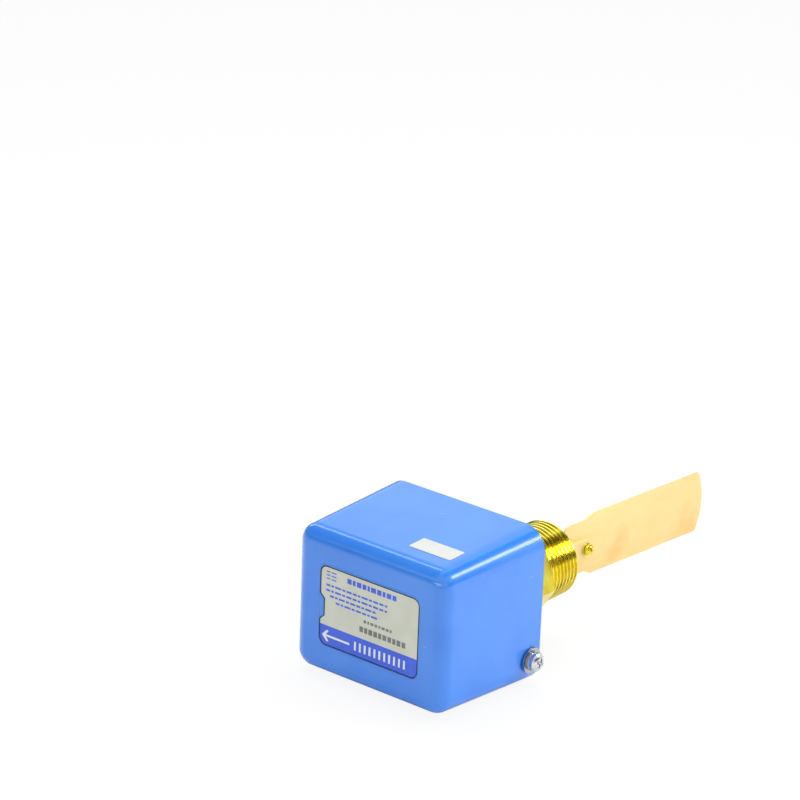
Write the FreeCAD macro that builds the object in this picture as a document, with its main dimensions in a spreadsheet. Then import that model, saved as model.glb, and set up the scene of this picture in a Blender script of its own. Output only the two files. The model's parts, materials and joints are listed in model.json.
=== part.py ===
import FreeCAD, Part
import Sketcher
import math
import os
import re

# Paddle flow switch, millimetres.
# +Y runs along the pipe thread to the paddle, +Z is up as the switch lies on its side,
# the liquid flows towards -X.  Origin: thread axis at the shoulder between hexagon and thread.

Vector = FreeCAD.Vector
doc = FreeCAD.newDocument("paddle_flow_switch")

# ---------------------------------------------------------------- driving dimensions
DRIVING = {
    # deep-drawn cover
    "cover_width": (83.0, "outside width at the open edge, along X"),
    "cover_height": (67.6, "outside height at the open edge, along Z"),
    "cover_depth": (59.4, "open edge to label face"),
    "cover_offset": (11.4, "thread axis to the middle of the cover"),
    "cover_wall": (1.0, "sheet thickness of the cover"),
    "cover_draft": (2.79, "lean of the side walls, degrees"),
    "cover_corner": (10.0, "radius of the four long corners"),
    "cover_rim": (6.6, "radius from the walls into the label face"),
    # label window and labels
    "window_width": (51.6, "recess for the nameplate, along X"),
    "window_height": (34.8, "recess for the nameplate, along Z"),
    "window_corner": (3.5, "corner radius of the recess"),
    "window_shift": (0.6, "recess centre from the cover centre"),
    "window_recess": (0.45, "depth of the recess"),
    "tab_depth": (2.15, "locating tab that reaches into the window"),
    "tab_root": (11.0, "height of the tab at the window edge"),
    "tab_tip": (7.0, "height of the tab at its end"),
    "tab_rise": (0.8, "tab centre below the thread axis"),
    "plate_gap": (0.15, "gap round the nameplate"),
    "nameplate_sheet": (0.35, "thickness of the nameplate"),
    "sticker_width": (20.9, "blank sticker, along X"),
    "sticker_depth": (9.4, "blank sticker, along Y"),
    "sticker_sheet": (0.15, "thickness of the sticker"),
    "sticker_x": (8.6, "sticker centre, along X"),
    "sticker_y": (42.3, "sticker centre from the open edge"),
    # base pan
    "pan_clearance": (0.95, "pan edge to the inside of the cover at the open edge"),
    "pan_sheet": (1.6, "sheet thickness of the pan and the brackets"),
    "pan_flange": (11.5, "height of the turned-up flange"),
    # brass body
    "thread_diameter": (33.25, "outside diameter of the 1 inch pipe thread"),
    "thread_length": (20.0, "shoulder to mouth"),
    "thread_chamfer": (0.9, "lead-in at the mouth"),
    "hex_across": (36.0, "hexagon across flats"),
    "hex_length": (16.8, "length of the hexagon"),
    "hex_turn": (6.0, "hexagon corner away from +X, degrees"),
    "hex_chamfer": (30.0, "turned chamfer of the hexagon, degrees"),
    "collar_diameter": (34.0, "round collar under the hexagon"),
    "collar_length": (5.0, "length of the collar"),
    "bore_diameter": (25.4, "water-side bore"),
    "bore_depth": (33.0, "water-side bore, from the mouth"),
    "neck_diameter": (11.0, "bore through the spigot"),
    "spigot_diameter": (18.0, "spigot through the pan"),
    "gasket_sheet": (0.8, "fibre gasket under the collar"),
    # clamped stack on the spigot
    "lock_washer_sheet": (0.8, "washer under the lock nut"),
    "lock_washer_diameter": (26.0, "washer under the lock nut"),
    "lock_nut_height": (5.0, "lock nut on the spigot"),
    "lock_nut_across": (24.0, "lock nut across flats"),
    # rocker and pivot
    "rest_lean": (3.8, "lean of the lever at rest, towards +X, degrees"),
    "hub_diameter": (10.0, "rocker hub"),
    "hub_clearance": (0.8, "hub to the lock nut"),
    "pin_diameter": (4.0, "pivot pin"),
    "pin_overhang": (1.6, "pin end beyond the bracket ear"),
    "ear_inside": (30.0, "distance between the bracket ears"),
    "ear_width": (13.0, "width of a bracket ear, along X"),
    "ear_gap": (0.8, "hub end to bracket ear"),
    "clip_diameter": (7.4, "retaining clip of the pin"),
    "clip_sheet": (0.6, "thickness of the retaining clip"),
    "arm_length": (25.0, "pivot to the end of the rocker arm"),
    "arm_sheet": (3.0, "thickness of the rocker arm, along X"),
    "arm_root": (16.0, "width of the arm at the hub, along Z"),
    "arm_tip": (9.0, "width of the arm at its end, along Z"),
    "running_fit": (0.05, "radial clearance of what turns or slides"),
    "seat_fit": (0.02, "radial clearance of what is pressed or screwed in"),
    # lever, bellows and paddle
    "rod_diameter": (6.0, "lever rod through the bellows"),
    "flat_start": (52.0, "pivot to the start of the flattened end"),
    "flat_sheet": (3.0, "thickness of the flattened end, along X"),
    "flat_width": (8.0, "width of the flattened end, along Z"),
    "lever_reach": (80.2, "pivot to the end of the lever"),
    "bellows_crest": (17.0, "outside diameter of the bellows"),
    "bellows_root": (11.6, "diameter in the folds of the bellows"),
    "bellows_wall": (0.4, "wall of the bellows"),
    "bellows_pitch": (3.3, "one fold of the bellows"),
    "bellows_folds": (5.0, "number of folds"),
    "bellows_cuff": (2.0, "plain cuff at each end of the bellows"),
    "bellows_gap": (0.6, "bellows to its seat ring, room for the lean"),
    "seat_ring": (2.0, "height of the bellows seat ring"),
    "cap_sheet": (2.0, "end cap of the bellows"),
    "blade_sheet": (0.5, "thickness of the paddle"),
    "blade_start": (64.6, "pivot to the root of the paddle"),
    "neck_end": (78.3, "pivot to the end of the narrow neck"),
    "blade_full": (82.6, "pivot to the start of the full width"),
    "blade_corner": (152.4, "pivot to the tip corners"),
    "blade_bulge": (3.4, "rise of the curved tip"),
    "blade_neck": (23.6, "width of the neck"),
    "blade_width": (27.6, "width of the paddle"),
    "blade_screw": (75.9, "pivot to the paddle screw"),
    # snap switch
    "switch_y": (19.4, "pivot to the middle of the switch"),
    "switch_length": (49.0, "switch case along Z"),
    "switch_height": (18.4, "switch case along X"),
    "switch_sheet": (17.4, "switch case along Y"),
    "switch_front": (6.2, "thread axis to the front of the case"),
    "switch_holes": (25.4, "distance between the mounting holes"),
    "plunger_diameter": (5.0, "switch plunger"),
    "plunger_depth": (7.0, "plunger inside the case"),
    "touch_gap": (0.3, "working gap between parts that press on each other"),
    "rib_height": (3.2, "barriers between the terminals"),
    "rib_sheet": (1.6, "thickness of a barrier"),
    "terminal_sheet": (1.0, "brass terminal plate"),
    "terminal_width": (9.0, "terminal plate along Z"),
    "terminal_depth": (12.0, "terminal plate along Y"),
    "terminal_pitch": (15.0, "distance between terminals"),
    # brackets inside the housing
    "riser_x": (14.2, "thread axis to the riser of the switch bracket"),
    "shelf_length": (17.0, "shelf that carries the switch, along X"),
    "shelf_width": (40.0, "shelf that carries the switch, along Z"),
    "foot_length": (12.0, "feet of the switch bracket, along X"),
    "foot_width": (8.0, "feet of the switch bracket, along Z"),
    "range_riser_x": (21.6, "thread axis to the riser of the range bracket"),
    "range_foot": (8.4, "foot of the range bracket, along X"),
    "range_width": (17.0, "width of the range bracket"),
    "range_y": (13.0, "pivot to the range spring axis"),
    "range_top": (7.0, "range spring axis to the end of its bracket"),
    # range spring and screw
    "range_screw_diameter": (5.0, "adjusting screw"),
    "range_head_diameter": (8.5, "head of the adjusting screw"),
    "range_head_height": (2.6, "head of the adjusting screw"),
    "range_screw_reach": (8.0, "thread axis to the tip of the adjusting screw"),
    "range_nut_side": (10.0, "square nut that seats the spring"),
    "range_nut_height": (4.0, "square nut, along X"),
    "range_nut_x": (16.2, "thread axis to the spring side of the nut"),
    "guide_sheet": (1.6, "tongue that stops the nut from turning"),
    "spring_diameter": (7.4, "mean diameter of the range spring"),
    "spring_wire": (0.9, "wire of the range spring"),
    "spring_turns": (6.5, "turns of the range spring"),
    # cable entry
    "entry_inset": (15.95, "cable entry from the edge of the pan, along X"),
    "entry_hole": (22.2, "hole in the pan"),
    "grommet_flange": (27.0, "outside diameter of the grommet"),
    "grommet_bore": (13.0, "cable hole of the grommet"),
    "grommet_lip": (2.6, "height of each grommet flange"),
    # fasteners
    "cover_screw_inset": (12.5, "cover screws from the long side of the cover"),
    "cover_screw_y": (5.7, "cover screws from the open edge"),
    "cover_screw_diameter": (4.0, "shank of a cover screw"),
    "cover_screw_length": (11.0, "shank of a cover screw"),
    "cover_head_diameter": (8.0, "pan head of a cover screw"),
    "cover_head_height": (3.1, "pan head of a cover screw"),
    "flat_washer_diameter": (10.9, "flat washer of a cover screw"),
    "flat_washer_sheet": (0.9, "flat washer of a cover screw"),
    "spring_washer_diameter": (7.6, "spring washer of a cover screw"),
    "spring_washer_sheet": (1.1, "spring washer of a cover screw"),
    "slot_clearance": (0.5, "cover slot round the screw"),
    "weld_nut_diameter": (7.6, "weld nut behind the flange"),
    "weld_nut_height": (3.2, "weld nut behind the flange"),
    "weld_nut_pilot": (5.2, "raised ring of the weld nut that meets the flange"),
    "weld_nut_step": (0.4, "height of that ring"),
    "small_screw_diameter": (3.0, "bracket and switch screws"),
    "small_head_diameter": (5.6, "bracket and switch screws"),
    "small_head_height": (2.2, "bracket and switch screws"),
    "terminal_screw_diameter": (3.5, "terminal screws"),
    "terminal_head_diameter": (6.4, "terminal screws"),
    "terminal_head_height": (2.4, "terminal screws"),
    "terminal_screw_length": (5.0, "terminal screws"),
    "paddle_screw_diameter": (3.0, "paddle screw"),
    "paddle_head_diameter": (5.4, "paddle screw"),
    "paddle_head_height": (2.0, "paddle screw"),
    "paddle_nut_across": (5.5, "nut behind the paddle"),
    "paddle_nut_height": (2.4, "nut behind the paddle"),
    "backing_width": (16.0, "clamp plate behind the paddle, along Z"),
    "backing_length": (11.0, "clamp plate behind the paddle, along Y"),
    "backing_sheet": (1.0, "clamp plate behind the paddle"),
    "paddle_washer_sheet": (0.8, "spring washer of the paddle screw"),
    "ground_inset": (8.85, "earth screw from the edge of the pan, along Z"),
    "ground_reach": (12.95, "earth screw from the edge of the pan, along X"),
    "ground_cup_diameter": (9.0, "cup washer of the earth screw"),
    "ground_cup_height": (1.2, "cup washer of the earth screw"),
}

# ---------------------------------------------------------------- places that follow from them
DERIVED = {
    "pan_face": "-(hex_length + collar_length + gasket_sheet)",
    "pan_inside": "pan_face - pan_sheet",
    "bracket_top": "pan_inside - pan_sheet",
    "lock_nut_face": "bracket_top - lock_washer_sheet",
    "lock_nut_top": "lock_nut_face - lock_nut_height",
    "pivot_y": "lock_nut_top - hub_clearance - hub_diameter / 2",
    "hub_half": "ear_inside / 2 - ear_gap",
    "label_face": "pan_face - cover_depth",
    "label_slope": "tan(cover_draft)",
    "pan_half_x": "cover_width / 2 - cover_wall - pan_clearance",
    "pan_half_z": "cover_height / 2 - cover_wall - pan_clearance",
    "pan_corner": "cover_corner - cover_wall - pan_clearance",
    "cover_screw_z": "cover_height / 2 - cover_screw_inset",
    "ground_x": "cover_offset + pan_half_x - ground_reach",
    "ground_z": "pan_half_z - ground_inset",
    "bore_floor": "thread_length - bore_depth",
    "ring_top": "bore_floor + seat_ring",
    "bellows_start": "ring_top - pivot_y + bellows_gap",
    "bellows_length": "2 * bellows_cuff + bellows_folds * bellows_pitch",
    "cap_start": "bellows_start + bellows_length",
    "switch_mid": "pivot_y - switch_y",
    "shelf_face": "switch_mid + switch_sheet / 2",
    "switch_back": "-switch_front - switch_height",
    "arm_face_lean": "switch_y * tan(rest_lean) + arm_sheet / 2 / cos(rest_lean)",
    "plunger_tip": "-arm_face_lean - touch_gap",
    "plunger_length": "plunger_tip + switch_front + plunger_depth",
    "range_axis": "pivot_y - range_y",
    "spring_start": "arm_sheet / 2 / cos(rest_lean) - range_y * tan(rest_lean) + touch_gap",
    "spring_length": "range_nut_x - touch_gap - spring_start",
    "entry_x": "cover_offset + pan_half_x - entry_inset",
    "cover_screw_place": "pan_face - cover_screw_y",
    "washer_seat": "cover_width / 2 + touch_gap / 4",
    "head_seat": "washer_seat + flat_washer_sheet + spring_washer_sheet",
    "foot_screw_length": "2 * pan_sheet",
}

owner = {}
dims = doc.addObject("Spreadsheet::Sheet", "dims")
for row, (alias, (number, meaning)) in enumerate(DRIVING.items(), start=1):
    dims.set(f"A{row}", meaning)
    dims.set(f"B{row}", str(number))
    dims.setAlias(f"B{row}", alias)
    owner[alias] = "dims."


def tied(formula):
    """The formula with every size named by the sheet that holds it."""
    return re.sub(r"[a-z_]+", lambda word: owner.get(word.group(0), "") + word.group(0), str(formula))


places = doc.addObject("Spreadsheet::Sheet", "places")
for row, (alias, formula) in enumerate(DERIVED.items(), start=1):
    places.set(f"A{row}", alias.replace("_", " "))
    places.set(f"B{row}", "=" + tied(formula))
    places.setAlias(f"B{row}", alias)
    owner[alias] = "places."
doc.recompute()

PARTS = {}


def number(formula):
    """The present value of a formula."""
    found = dims.evalExpression(tied(formula))
    return float(getattr(found, "Value", found))


def bind(thing, **formulas):
    """Ties properties of an object to formulas."""
    for name, formula in formulas.items():
        thing.setExpression(name, tied(formula))
    return thing


TURNS = {
    "+Z": (Vector(0, 0, 1), 0),
    "-Z": (Vector(1, 0, 0), 180),
    "+X": (Vector(0, 1, 0), 90),
    "-X": (Vector(0, -1, 0), 90),
    "+Y": (Vector(-1, 0, 0), 90),
    "-Y": (Vector(1, 0, 0), 90),
}


def put(thing, place=("0", "0", "0"), facing="+Z"):
    """Turns a piece's own +Z to a row axis and ties its place to formulas."""
    axis, angle = TURNS[facing]
    thing.Placement = FreeCAD.Placement(Vector(0, 0, 0), FreeCAD.Rotation(axis, angle))
    for letter, formula in zip("xyz", place):
        thing.setExpression(f"Placement.Base.{letter}", tied(formula))
    return thing


def lean(thing):
    """Hangs a piece, drawn about the pivot, on the pivot with the lever's lean at rest."""
    thing.Placement = FreeCAD.Placement(Vector(0, 0, 0), FreeCAD.Rotation(Vector(0, 0, -1), 1))
    thing.setExpression("Placement.Base.y", tied("pivot_y"))
    thing.setExpression("Placement.Rotation.Angle", tied("rest_lean"))
    return thing


def part(thing, label):
    """Marks an object as a sub-part of its own."""
    thing.Label = label
    PARTS[label] = thing
    return thing


# ---------------------------------------------------------------- sketches
def sketch(body, plane, name, height=None):
    """A sketch on one of the body's own origin planes."""
    drawn = body.newObject("Sketcher::SketchObject", name)
    origin = next(item for item in body.Origin.OriginFeatures if item.Role == plane + "_Plane")
    drawn.AttachmentSupport = [(origin, "")]
    drawn.MapMode = "FlatFace"
    if height is not None:
        drawn.setExpression("AttachmentOffset.Base.z", tied(height))
    return drawn


def limit(drawn, kind, where, formula):
    """One dimension of a sketch, tied to a formula."""
    index = drawn.addConstraint(Sketcher.Constraint(kind, *where, number(formula)))
    drawn.setExpression(f"Constraints[{index}]", tied(formula))


def pin_point(drawn, edge, end, x, y):
    """Pins one point of a sketch, each way from the origin."""
    limit(drawn, "DistanceX", (-1, 1, edge, end), x)
    limit(drawn, "DistanceY", (-1, 1, edge, end), y)


def outline(drawn, corners):
    """A closed outline; a corner is (x, y), or (x, y, rise) where the next edge is an arc."""
    first = drawn.GeometryCount
    spots = [Vector(number(c[0]), number(c[1]), 0) for c in corners]
    count = len(corners)
    for i, corner in enumerate(corners):
        here, there = spots[i], spots[(i + 1) % count]
        if len(corner) == 3:
            middle = (here + there) * 0.5
            across = Vector(there.y - here.y, here.x - there.x, 0).normalize()
            arc = Part.Arc(here, middle + across * number(corner[2]), there)
            drawn.addGeometry(arc, False)
        else:
            drawn.addGeometry(Part.LineSegment(here, there), False)
    for i, corner in enumerate(corners):
        after = first + (i + 1) % count
        here_edge = first + i
        start, end = 1, 2
        if len(corner) == 3 and not runs_forward(drawn, here_edge, spots[i]):
            start, end = 2, 1
        follower = corners[(i + 1) % count]
        follow_start = 1
        if len(follower) == 3 and not runs_forward(drawn, after, spots[(i + 1) % count]):
            follow_start = 2
        drawn.addConstraint(Sketcher.Constraint("Coincident", here_edge, end, after, follow_start))
        pin_point(drawn, here_edge, start, corner[0], corner[1])
        if len(corner) == 3:
            chord = f"sqrt(({follower[0]} - ({corner[0]}))^2 + ({follower[1]} - ({corner[1]}))^2)"
            limit(drawn, "Radius", (here_edge,), f"({chord})^2 / (8 * {corner[2]}) + {corner[2]} / 2")


def runs_forward(drawn, edge, spot):
    """True where an arc's own start lies on the spot."""
    return (drawn.Geometry[edge].StartPoint - spot).Length < 1e-6


def rounded(drawn, half_x, half_y, radius, middle=("0", "0")):
    """A rectangle with round corners about a middle point."""
    first = drawn.GeometryCount
    signs = [(1, 1), (-1, 1), (-1, -1), (1, -1)]
    hx, hy, r = number(half_x), number(half_y), number(radius)
    mx, my = number(middle[0]), number(middle[1])
    for quarter, (sx, sy) in enumerate(signs):
        centre = Vector(mx + sx * (hx - r), my + sy * (hy - r), 0)
        circle = Part.Circle(centre, Vector(0, 0, 1), r)
        drawn.addGeometry(Part.ArcOfCircle(circle, quarter * math.pi / 2, (quarter + 1) * math.pi / 2), False)
    for quarter in range(4):
        start = drawn.Geometry[first + quarter].EndPoint
        end = drawn.Geometry[first + (quarter + 1) % 4].StartPoint
        drawn.addGeometry(Part.LineSegment(start, end), False)
    for quarter, (sx, sy) in enumerate(signs):
        after = (quarter + 1) % 4
        drawn.addConstraint(Sketcher.Constraint("Tangent", first + quarter, 2, first + 4 + quarter, 1))
        drawn.addConstraint(Sketcher.Constraint("Tangent", first + 4 + quarter, 2, first + after, 1))
        limit(drawn, "Radius", (first + quarter,), radius)
        centre_x = f"{middle[0]} + {sx} * ({half_x} - ({radius}))"
        centre_y = f"{middle[1]} + {sy} * ({half_y} - ({radius}))"
        pin_point(drawn, first + quarter, 3, centre_x, centre_y)


def ring(drawn, radius, middle=("0", "0")):
    """A circle about a middle point."""
    edge = drawn.GeometryCount
    centre = Vector(number(middle[0]), number(middle[1]), 0)
    drawn.addGeometry(Part.Circle(centre, Vector(0, 0, 1), number(radius)), False)
    limit(drawn, "Radius", (edge,), radius)
    pin_point(drawn, edge, 3, *middle)


def hexagon(drawn, across, first_angle=0):
    """A regular hexagon about the origin."""
    corners = []
    for step in range(6):
        angle = first_angle + 60 * step
        corners.append((f"{across} / 2 / cos(30) * cos({angle})", f"{across} / 2 / cos(30) * sin({angle})"))
    outline(drawn, corners)


# ---------------------------------------------------------------- features
def body(label):
    made = doc.addObject("PartDesign::Body", label)
    return part(made, label)


def pad(owner_body, drawn, length, backwards=False, both=False, draft=None):
    grown = owner_body.newObject("PartDesign::Pad", drawn.Name + "_pad")
    grown.Profile = drawn
    bind(grown, Length=length)
    grown.Reversed = backwards
    if both:
        grown.SideType = "Symmetric"
    if draft:
        bind(grown, TaperAngle=draft)
    drawn.Visibility = False
    return grown


def pocket(owner_body, drawn, length, backwards=False, both=False, draft=None):
    """Cuts a sketch into the body and makes sure that it took something away."""
    doc.recompute()
    before = owner_body.Shape.Volume
    cut = owner_body.newObject("PartDesign::Pocket", drawn.Name + "_pocket")
    cut.Profile = drawn
    bind(cut, Length=length)
    cut.Reversed = backwards
    if both:
        cut.SideType = "Symmetric"
    if draft:
        bind(cut, TaperAngle=draft)
    doc.recompute()
    if not cut.Shape.Volume < before - 1e-3:
        raise RuntimeError(f"{cut.Name} cuts nothing")
    return cut


def turned(owner_body, drawn):
    """Turns a half profile round the sketch's upright axis."""
    made = owner_body.newObject("PartDesign::Revolution", drawn.Name + "_turned")
    made.Profile = drawn
    made.ReferenceAxis = (drawn, ["V_Axis"])
    made.Angle = 360
    return made


def soften(owner_body, radius, chosen, name, kind="Fillet", size="Radius"):
    """Fillets or chamfers the edges that the test picks."""
    doc.recompute()
    base = owner_body.Tip
    names = [f"Edge{i}" for i, edge in enumerate(base.Shape.Edges, start=1) if chosen(edge)]
    if not names:
        raise RuntimeError(f"{name} finds no edge")
    made = owner_body.newObject("PartDesign::" + kind, name)
    made.Base = (base, names)
    bind(made, **{size: radius})
    return made


def edge_at(edge, letter, formula, slack=1e-3):
    """True where the whole edge lies in one plane across an axis."""
    box = edge.BoundBox
    where = number(formula)
    low, high = getattr(box, letter + "Min"), getattr(box, letter + "Max")
    return abs(low - where) < slack and abs(high - where) < slack


def spun(label, profile, place=("0", "0", "0"), facing="+Z", marked=True):
    """A turned piece: (radius, height) corners about its own Z, then put in place."""
    made = doc.addObject("PartDesign::Body", label)
    drawn = sketch(made, "XZ", label + "_profile")
    outline(drawn, profile)
    turned(made, drawn)
    put(made, place, facing)
    return part(made, label) if marked else made


def washer_profile(outer, inner, height):
    return [(inner, "0"), (outer, "0"), (outer, height), (inner, height)]


def screw_profile(shank, length, head, height):
    """Half section of a pan-head screw: shank below zero, head above it."""
    return [
        ("0", f"-({length})"),
        (f"{shank} / 2 - 0.15 * {shank}", f"-({length})"),
        (f"{shank} / 2", f"-({length}) + 0.15 * {shank}"),
        (f"{shank} / 2", "0"),
        (f"{head} / 2", "0"),
        (f"{head} / 2", f"0.45 * {height}"),
        (f"0.44 * {head}", f"0.78 * {height}"),
        (f"0.3 * {head}", height),
        ("0", height),
    ]


def group(label, members):
    """Identical separate pieces that share one node."""
    made = doc.addObject("Part::Compound", label)
    made.Links = members
    return part(made, label)


def cylinder(name, radius, height, place, facing="+Z"):
    made = doc.addObject("Part::Cylinder", name)
    bind(made, Radius=radius, Height=height)
    return put(made, place, facing)


# ================================================================ brass body
def make_brass_body():
    made = body("brass_body")
    drawn = sketch(made, "XY", "body_profile")
    corner = "hex_across / 2 / cos(30)"
    drop = f"({corner} - hex_across / 2) * tan(hex_chamfer)"
    outline(drawn, [
        ("neck_diameter / 2", "lock_nut_top"),
        ("spigot_diameter / 2", "lock_nut_top"),
        ("spigot_diameter / 2", "pan_face + gasket_sheet"),
        ("collar_diameter / 2", "pan_face + gasket_sheet"),
        ("collar_diameter / 2", "-hex_length"),
        ("hex_across / 2", "-hex_length"),
        (corner, f"-hex_length + {drop}"),
        (corner, f"-({drop})"),
        ("hex_across / 2", "0"),
        ("thread_diameter / 2", "0"),
        ("thread_diameter / 2", "thread_length - thread_chamfer"),
        ("thread_diameter / 2 - thread_chamfer", "thread_length"),
        ("bore_diameter / 2", "thread_length"),
        ("bore_diameter / 2", "bore_floor"),
        ("neck_diameter / 2", "bore_floor"),
    ])
    turned(made, drawn)
    flats = sketch(made, "XZ", "body_flats")
    ring(flats, "hex_across")
    hexagon(flats, "hex_across")
    pocket(made, flats, "hex_length", backwards=True)
    made.Placement = FreeCAD.Placement(Vector(0, 0, 0), FreeCAD.Rotation(Vector(0, 1, 0), 1))
    made.setExpression("Placement.Rotation.Angle", tied("hex_turn"))


# ================================================================ clamped stack on the spigot
def make_stack():
    hole = "spigot_diameter / 2 + seat_fit"
    spun("body_gasket", washer_profile("collar_diameter / 2 - 0.5", hole, "gasket_sheet"),
         ("0", "pan_face", "0"), "+Y")
    spun("lock_washer", washer_profile("lock_washer_diameter / 2", hole, "lock_washer_sheet"),
         ("0", "lock_nut_face", "0"), "+Y")
    made = body("lock_nut")
    drawn = sketch(made, "XY", "lock_nut_outline")
    hexagon(drawn, "lock_nut_across", 30)
    ring(drawn, hole)
    pad(made, drawn, "lock_nut_height")
    put(made, ("0", "lock_nut_top", "0"), "+Y")
    spun("bellows_seat_ring", washer_profile("bore_diameter / 2 - seat_fit", "bellows_root / 2 - bellows_wall",
                                             "seat_ring"), ("0", "bore_floor", "0"), "+Y")


# ================================================================ base pan
def make_base_pan():
    made = body("base_pan")
    floor = sketch(made, "XZ", "pan_floor")
    rounded(floor, "pan_half_x", "pan_half_z", "pan_corner")
    pad(made, floor, "pan_flange")
    soften(made, "pan_sheet", lambda edge: edge_at(edge, "Y", "0"), "pan_bend")
    hollow = sketch(made, "XZ", "pan_hollow", "pan_sheet")
    rounded(hollow, "pan_half_x - pan_sheet", "pan_half_z - pan_sheet", "pan_corner - pan_sheet")
    pocket(made, hollow, "pan_flange", backwards=True)
    holes = sketch(made, "XZ", "pan_holes")
    ring(holes, "spigot_diameter / 2 + seat_fit", ("cover_offset", "0"))
    ring(holes, "entry_hole / 2", ("cover_offset - entry_x", "0"))
    foot_hole = "small_screw_diameter / 2 + seat_fit"
    for side in (1, -1):
        ring(holes, foot_hole, ("cover_offset - riser_x - pan_sheet - foot_length / 2",
                                f"{side} * (shelf_width / 2 - foot_width / 2)"))
        ring(holes, foot_hole, ("cover_offset + range_riser_x - range_foot / 2",
                                f"{side} * range_width / 4"))
    ring(holes, foot_hole, ("cover_offset - ground_x", "ground_z"))
    pocket(made, holes, "pan_sheet", backwards=True)
    for side, name in ((1, "right"), (-1, "left")):
        screw_hole = sketch(made, "YZ", f"pan_screw_hole_{name}")
        ring(screw_hole, "cover_screw_diameter / 2 + seat_fit", ("-cover_screw_y", f"{-side} * cover_screw_z"))
        pocket(made, screw_hole, "pan_half_x", backwards=side > 0)
    put(made, ("-cover_offset", "pan_face", "0"))


# ================================================================ cover
def make_cover():
    made = body("cover")
    half_x, half_z = "cover_width / 2", "cover_height / 2"
    shell = sketch(made, "XZ", "cover_outline")
    rounded(shell, half_x, half_z, "cover_corner")
    pad(made, shell, "cover_depth", draft="-cover_draft")
    cavity = sketch(made, "XZ", "cover_cavity")
    rounded(cavity, f"{half_x} - cover_wall", f"{half_z} - cover_wall", "cover_corner - cover_wall")
    pocket(made, cavity, "cover_depth - cover_wall", backwards=True, draft="-cover_draft")
    soften(made, "cover_rim - cover_wall",
           lambda edge: edge_at(edge, "Y", "-(cover_depth - cover_wall)"), "cover_cavity_round")
    soften(made, "cover_rim", lambda edge: edge_at(edge, "Y", "-cover_depth"), "cover_rim_round")
    window = sketch(made, "XZ", "cover_window", "cover_depth")
    window_outline(window, "0")
    pocket(made, window, "window_recess")
    for side, name in ((1, "right"), (-1, "left")):
        slot = sketch(made, "YZ", f"cover_slot_{name}")
        reach, wide = "cover_screw_y", "(cover_screw_diameter / 2 + slot_clearance)"
        middle = f"{-side} * cover_screw_z"
        outline(slot, [
            ("1", f"{middle} - {wide}"),
            ("1", f"{middle} + {wide}"),
            (f"-{reach}", f"{middle} + {wide}", f"{wide} * 0.999"),
            (f"-{reach}", f"{middle} - {wide}"),
        ])
        pocket(made, slot, half_x, backwards=side > 0)
    put(made, ("-cover_offset", "pan_face", "0"))


def window_outline(drawn, gap):
    """The window's outline: round corners, and the locating tab on its -X edge."""
    right, left = f"window_shift + window_width / 2 - {gap}", f"window_shift - window_width / 2 + {gap}"
    top, low = f"window_height / 2 - {gap}", f"-(window_height / 2 - {gap})"
    r = f"(window_corner - {gap})"
    rise = f"({r} * (1 - cos(45)))"
    tab_end, tab_mid = f"window_shift - window_width / 2 + tab_depth + {gap}", "-tab_rise"
    outline(drawn, [
        (f"{left} + {r}", low),
        (f"{right} - {r}", low, rise),
        (right, f"{low} + {r}"),
        (right, f"{top} - {r}", rise),
        (f"{right} - {r}", top),
        (f"{left} + {r}", top, rise),
        (left, f"{top} - {r}"),
        (left, f"{tab_mid} + tab_root / 2 + {gap}"),
        (tab_end, f"{tab_mid} + tab_tip / 2 + {gap}"),
        (tab_end, f"{tab_mid} - tab_tip / 2 - {gap}"),
        (left, f"{tab_mid} - tab_root / 2 - {gap}"),
        (left, f"{low} + {r}", rise),
    ])


def make_labels():
    made = body("nameplate")
    drawn = sketch(made, "XZ", "nameplate_outline")
    window_outline(drawn, "plate_gap")
    pad(made, drawn, "nameplate_sheet")
    put(made, ("-cover_offset", "label_face + window_recess", "0"))
    sticker = body("blank_sticker")
    drawn = sketch(sticker, "XY", "sticker_outline")
    rounded(drawn, "sticker_width / 2", "sticker_depth / 2", "0.6")
    pad(sticker, drawn, "sticker_sheet")
    sticker.Placement = FreeCAD.Placement(Vector(0, 0, 0), FreeCAD.Rotation(Vector(1, 0, 0), 1))
    sticker.setExpression("Placement.Rotation.Angle", tied("cover_draft"))
    sticker.setExpression("Placement.Base.x", tied("sticker_x"))
    sticker.setExpression("Placement.Base.y", tied("pan_face - sticker_y"))
    height = "cover_height / 2 - sticker_y * label_slope + seat_fit"
    sticker.setExpression("Placement.Base.z", tied(height))


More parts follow.
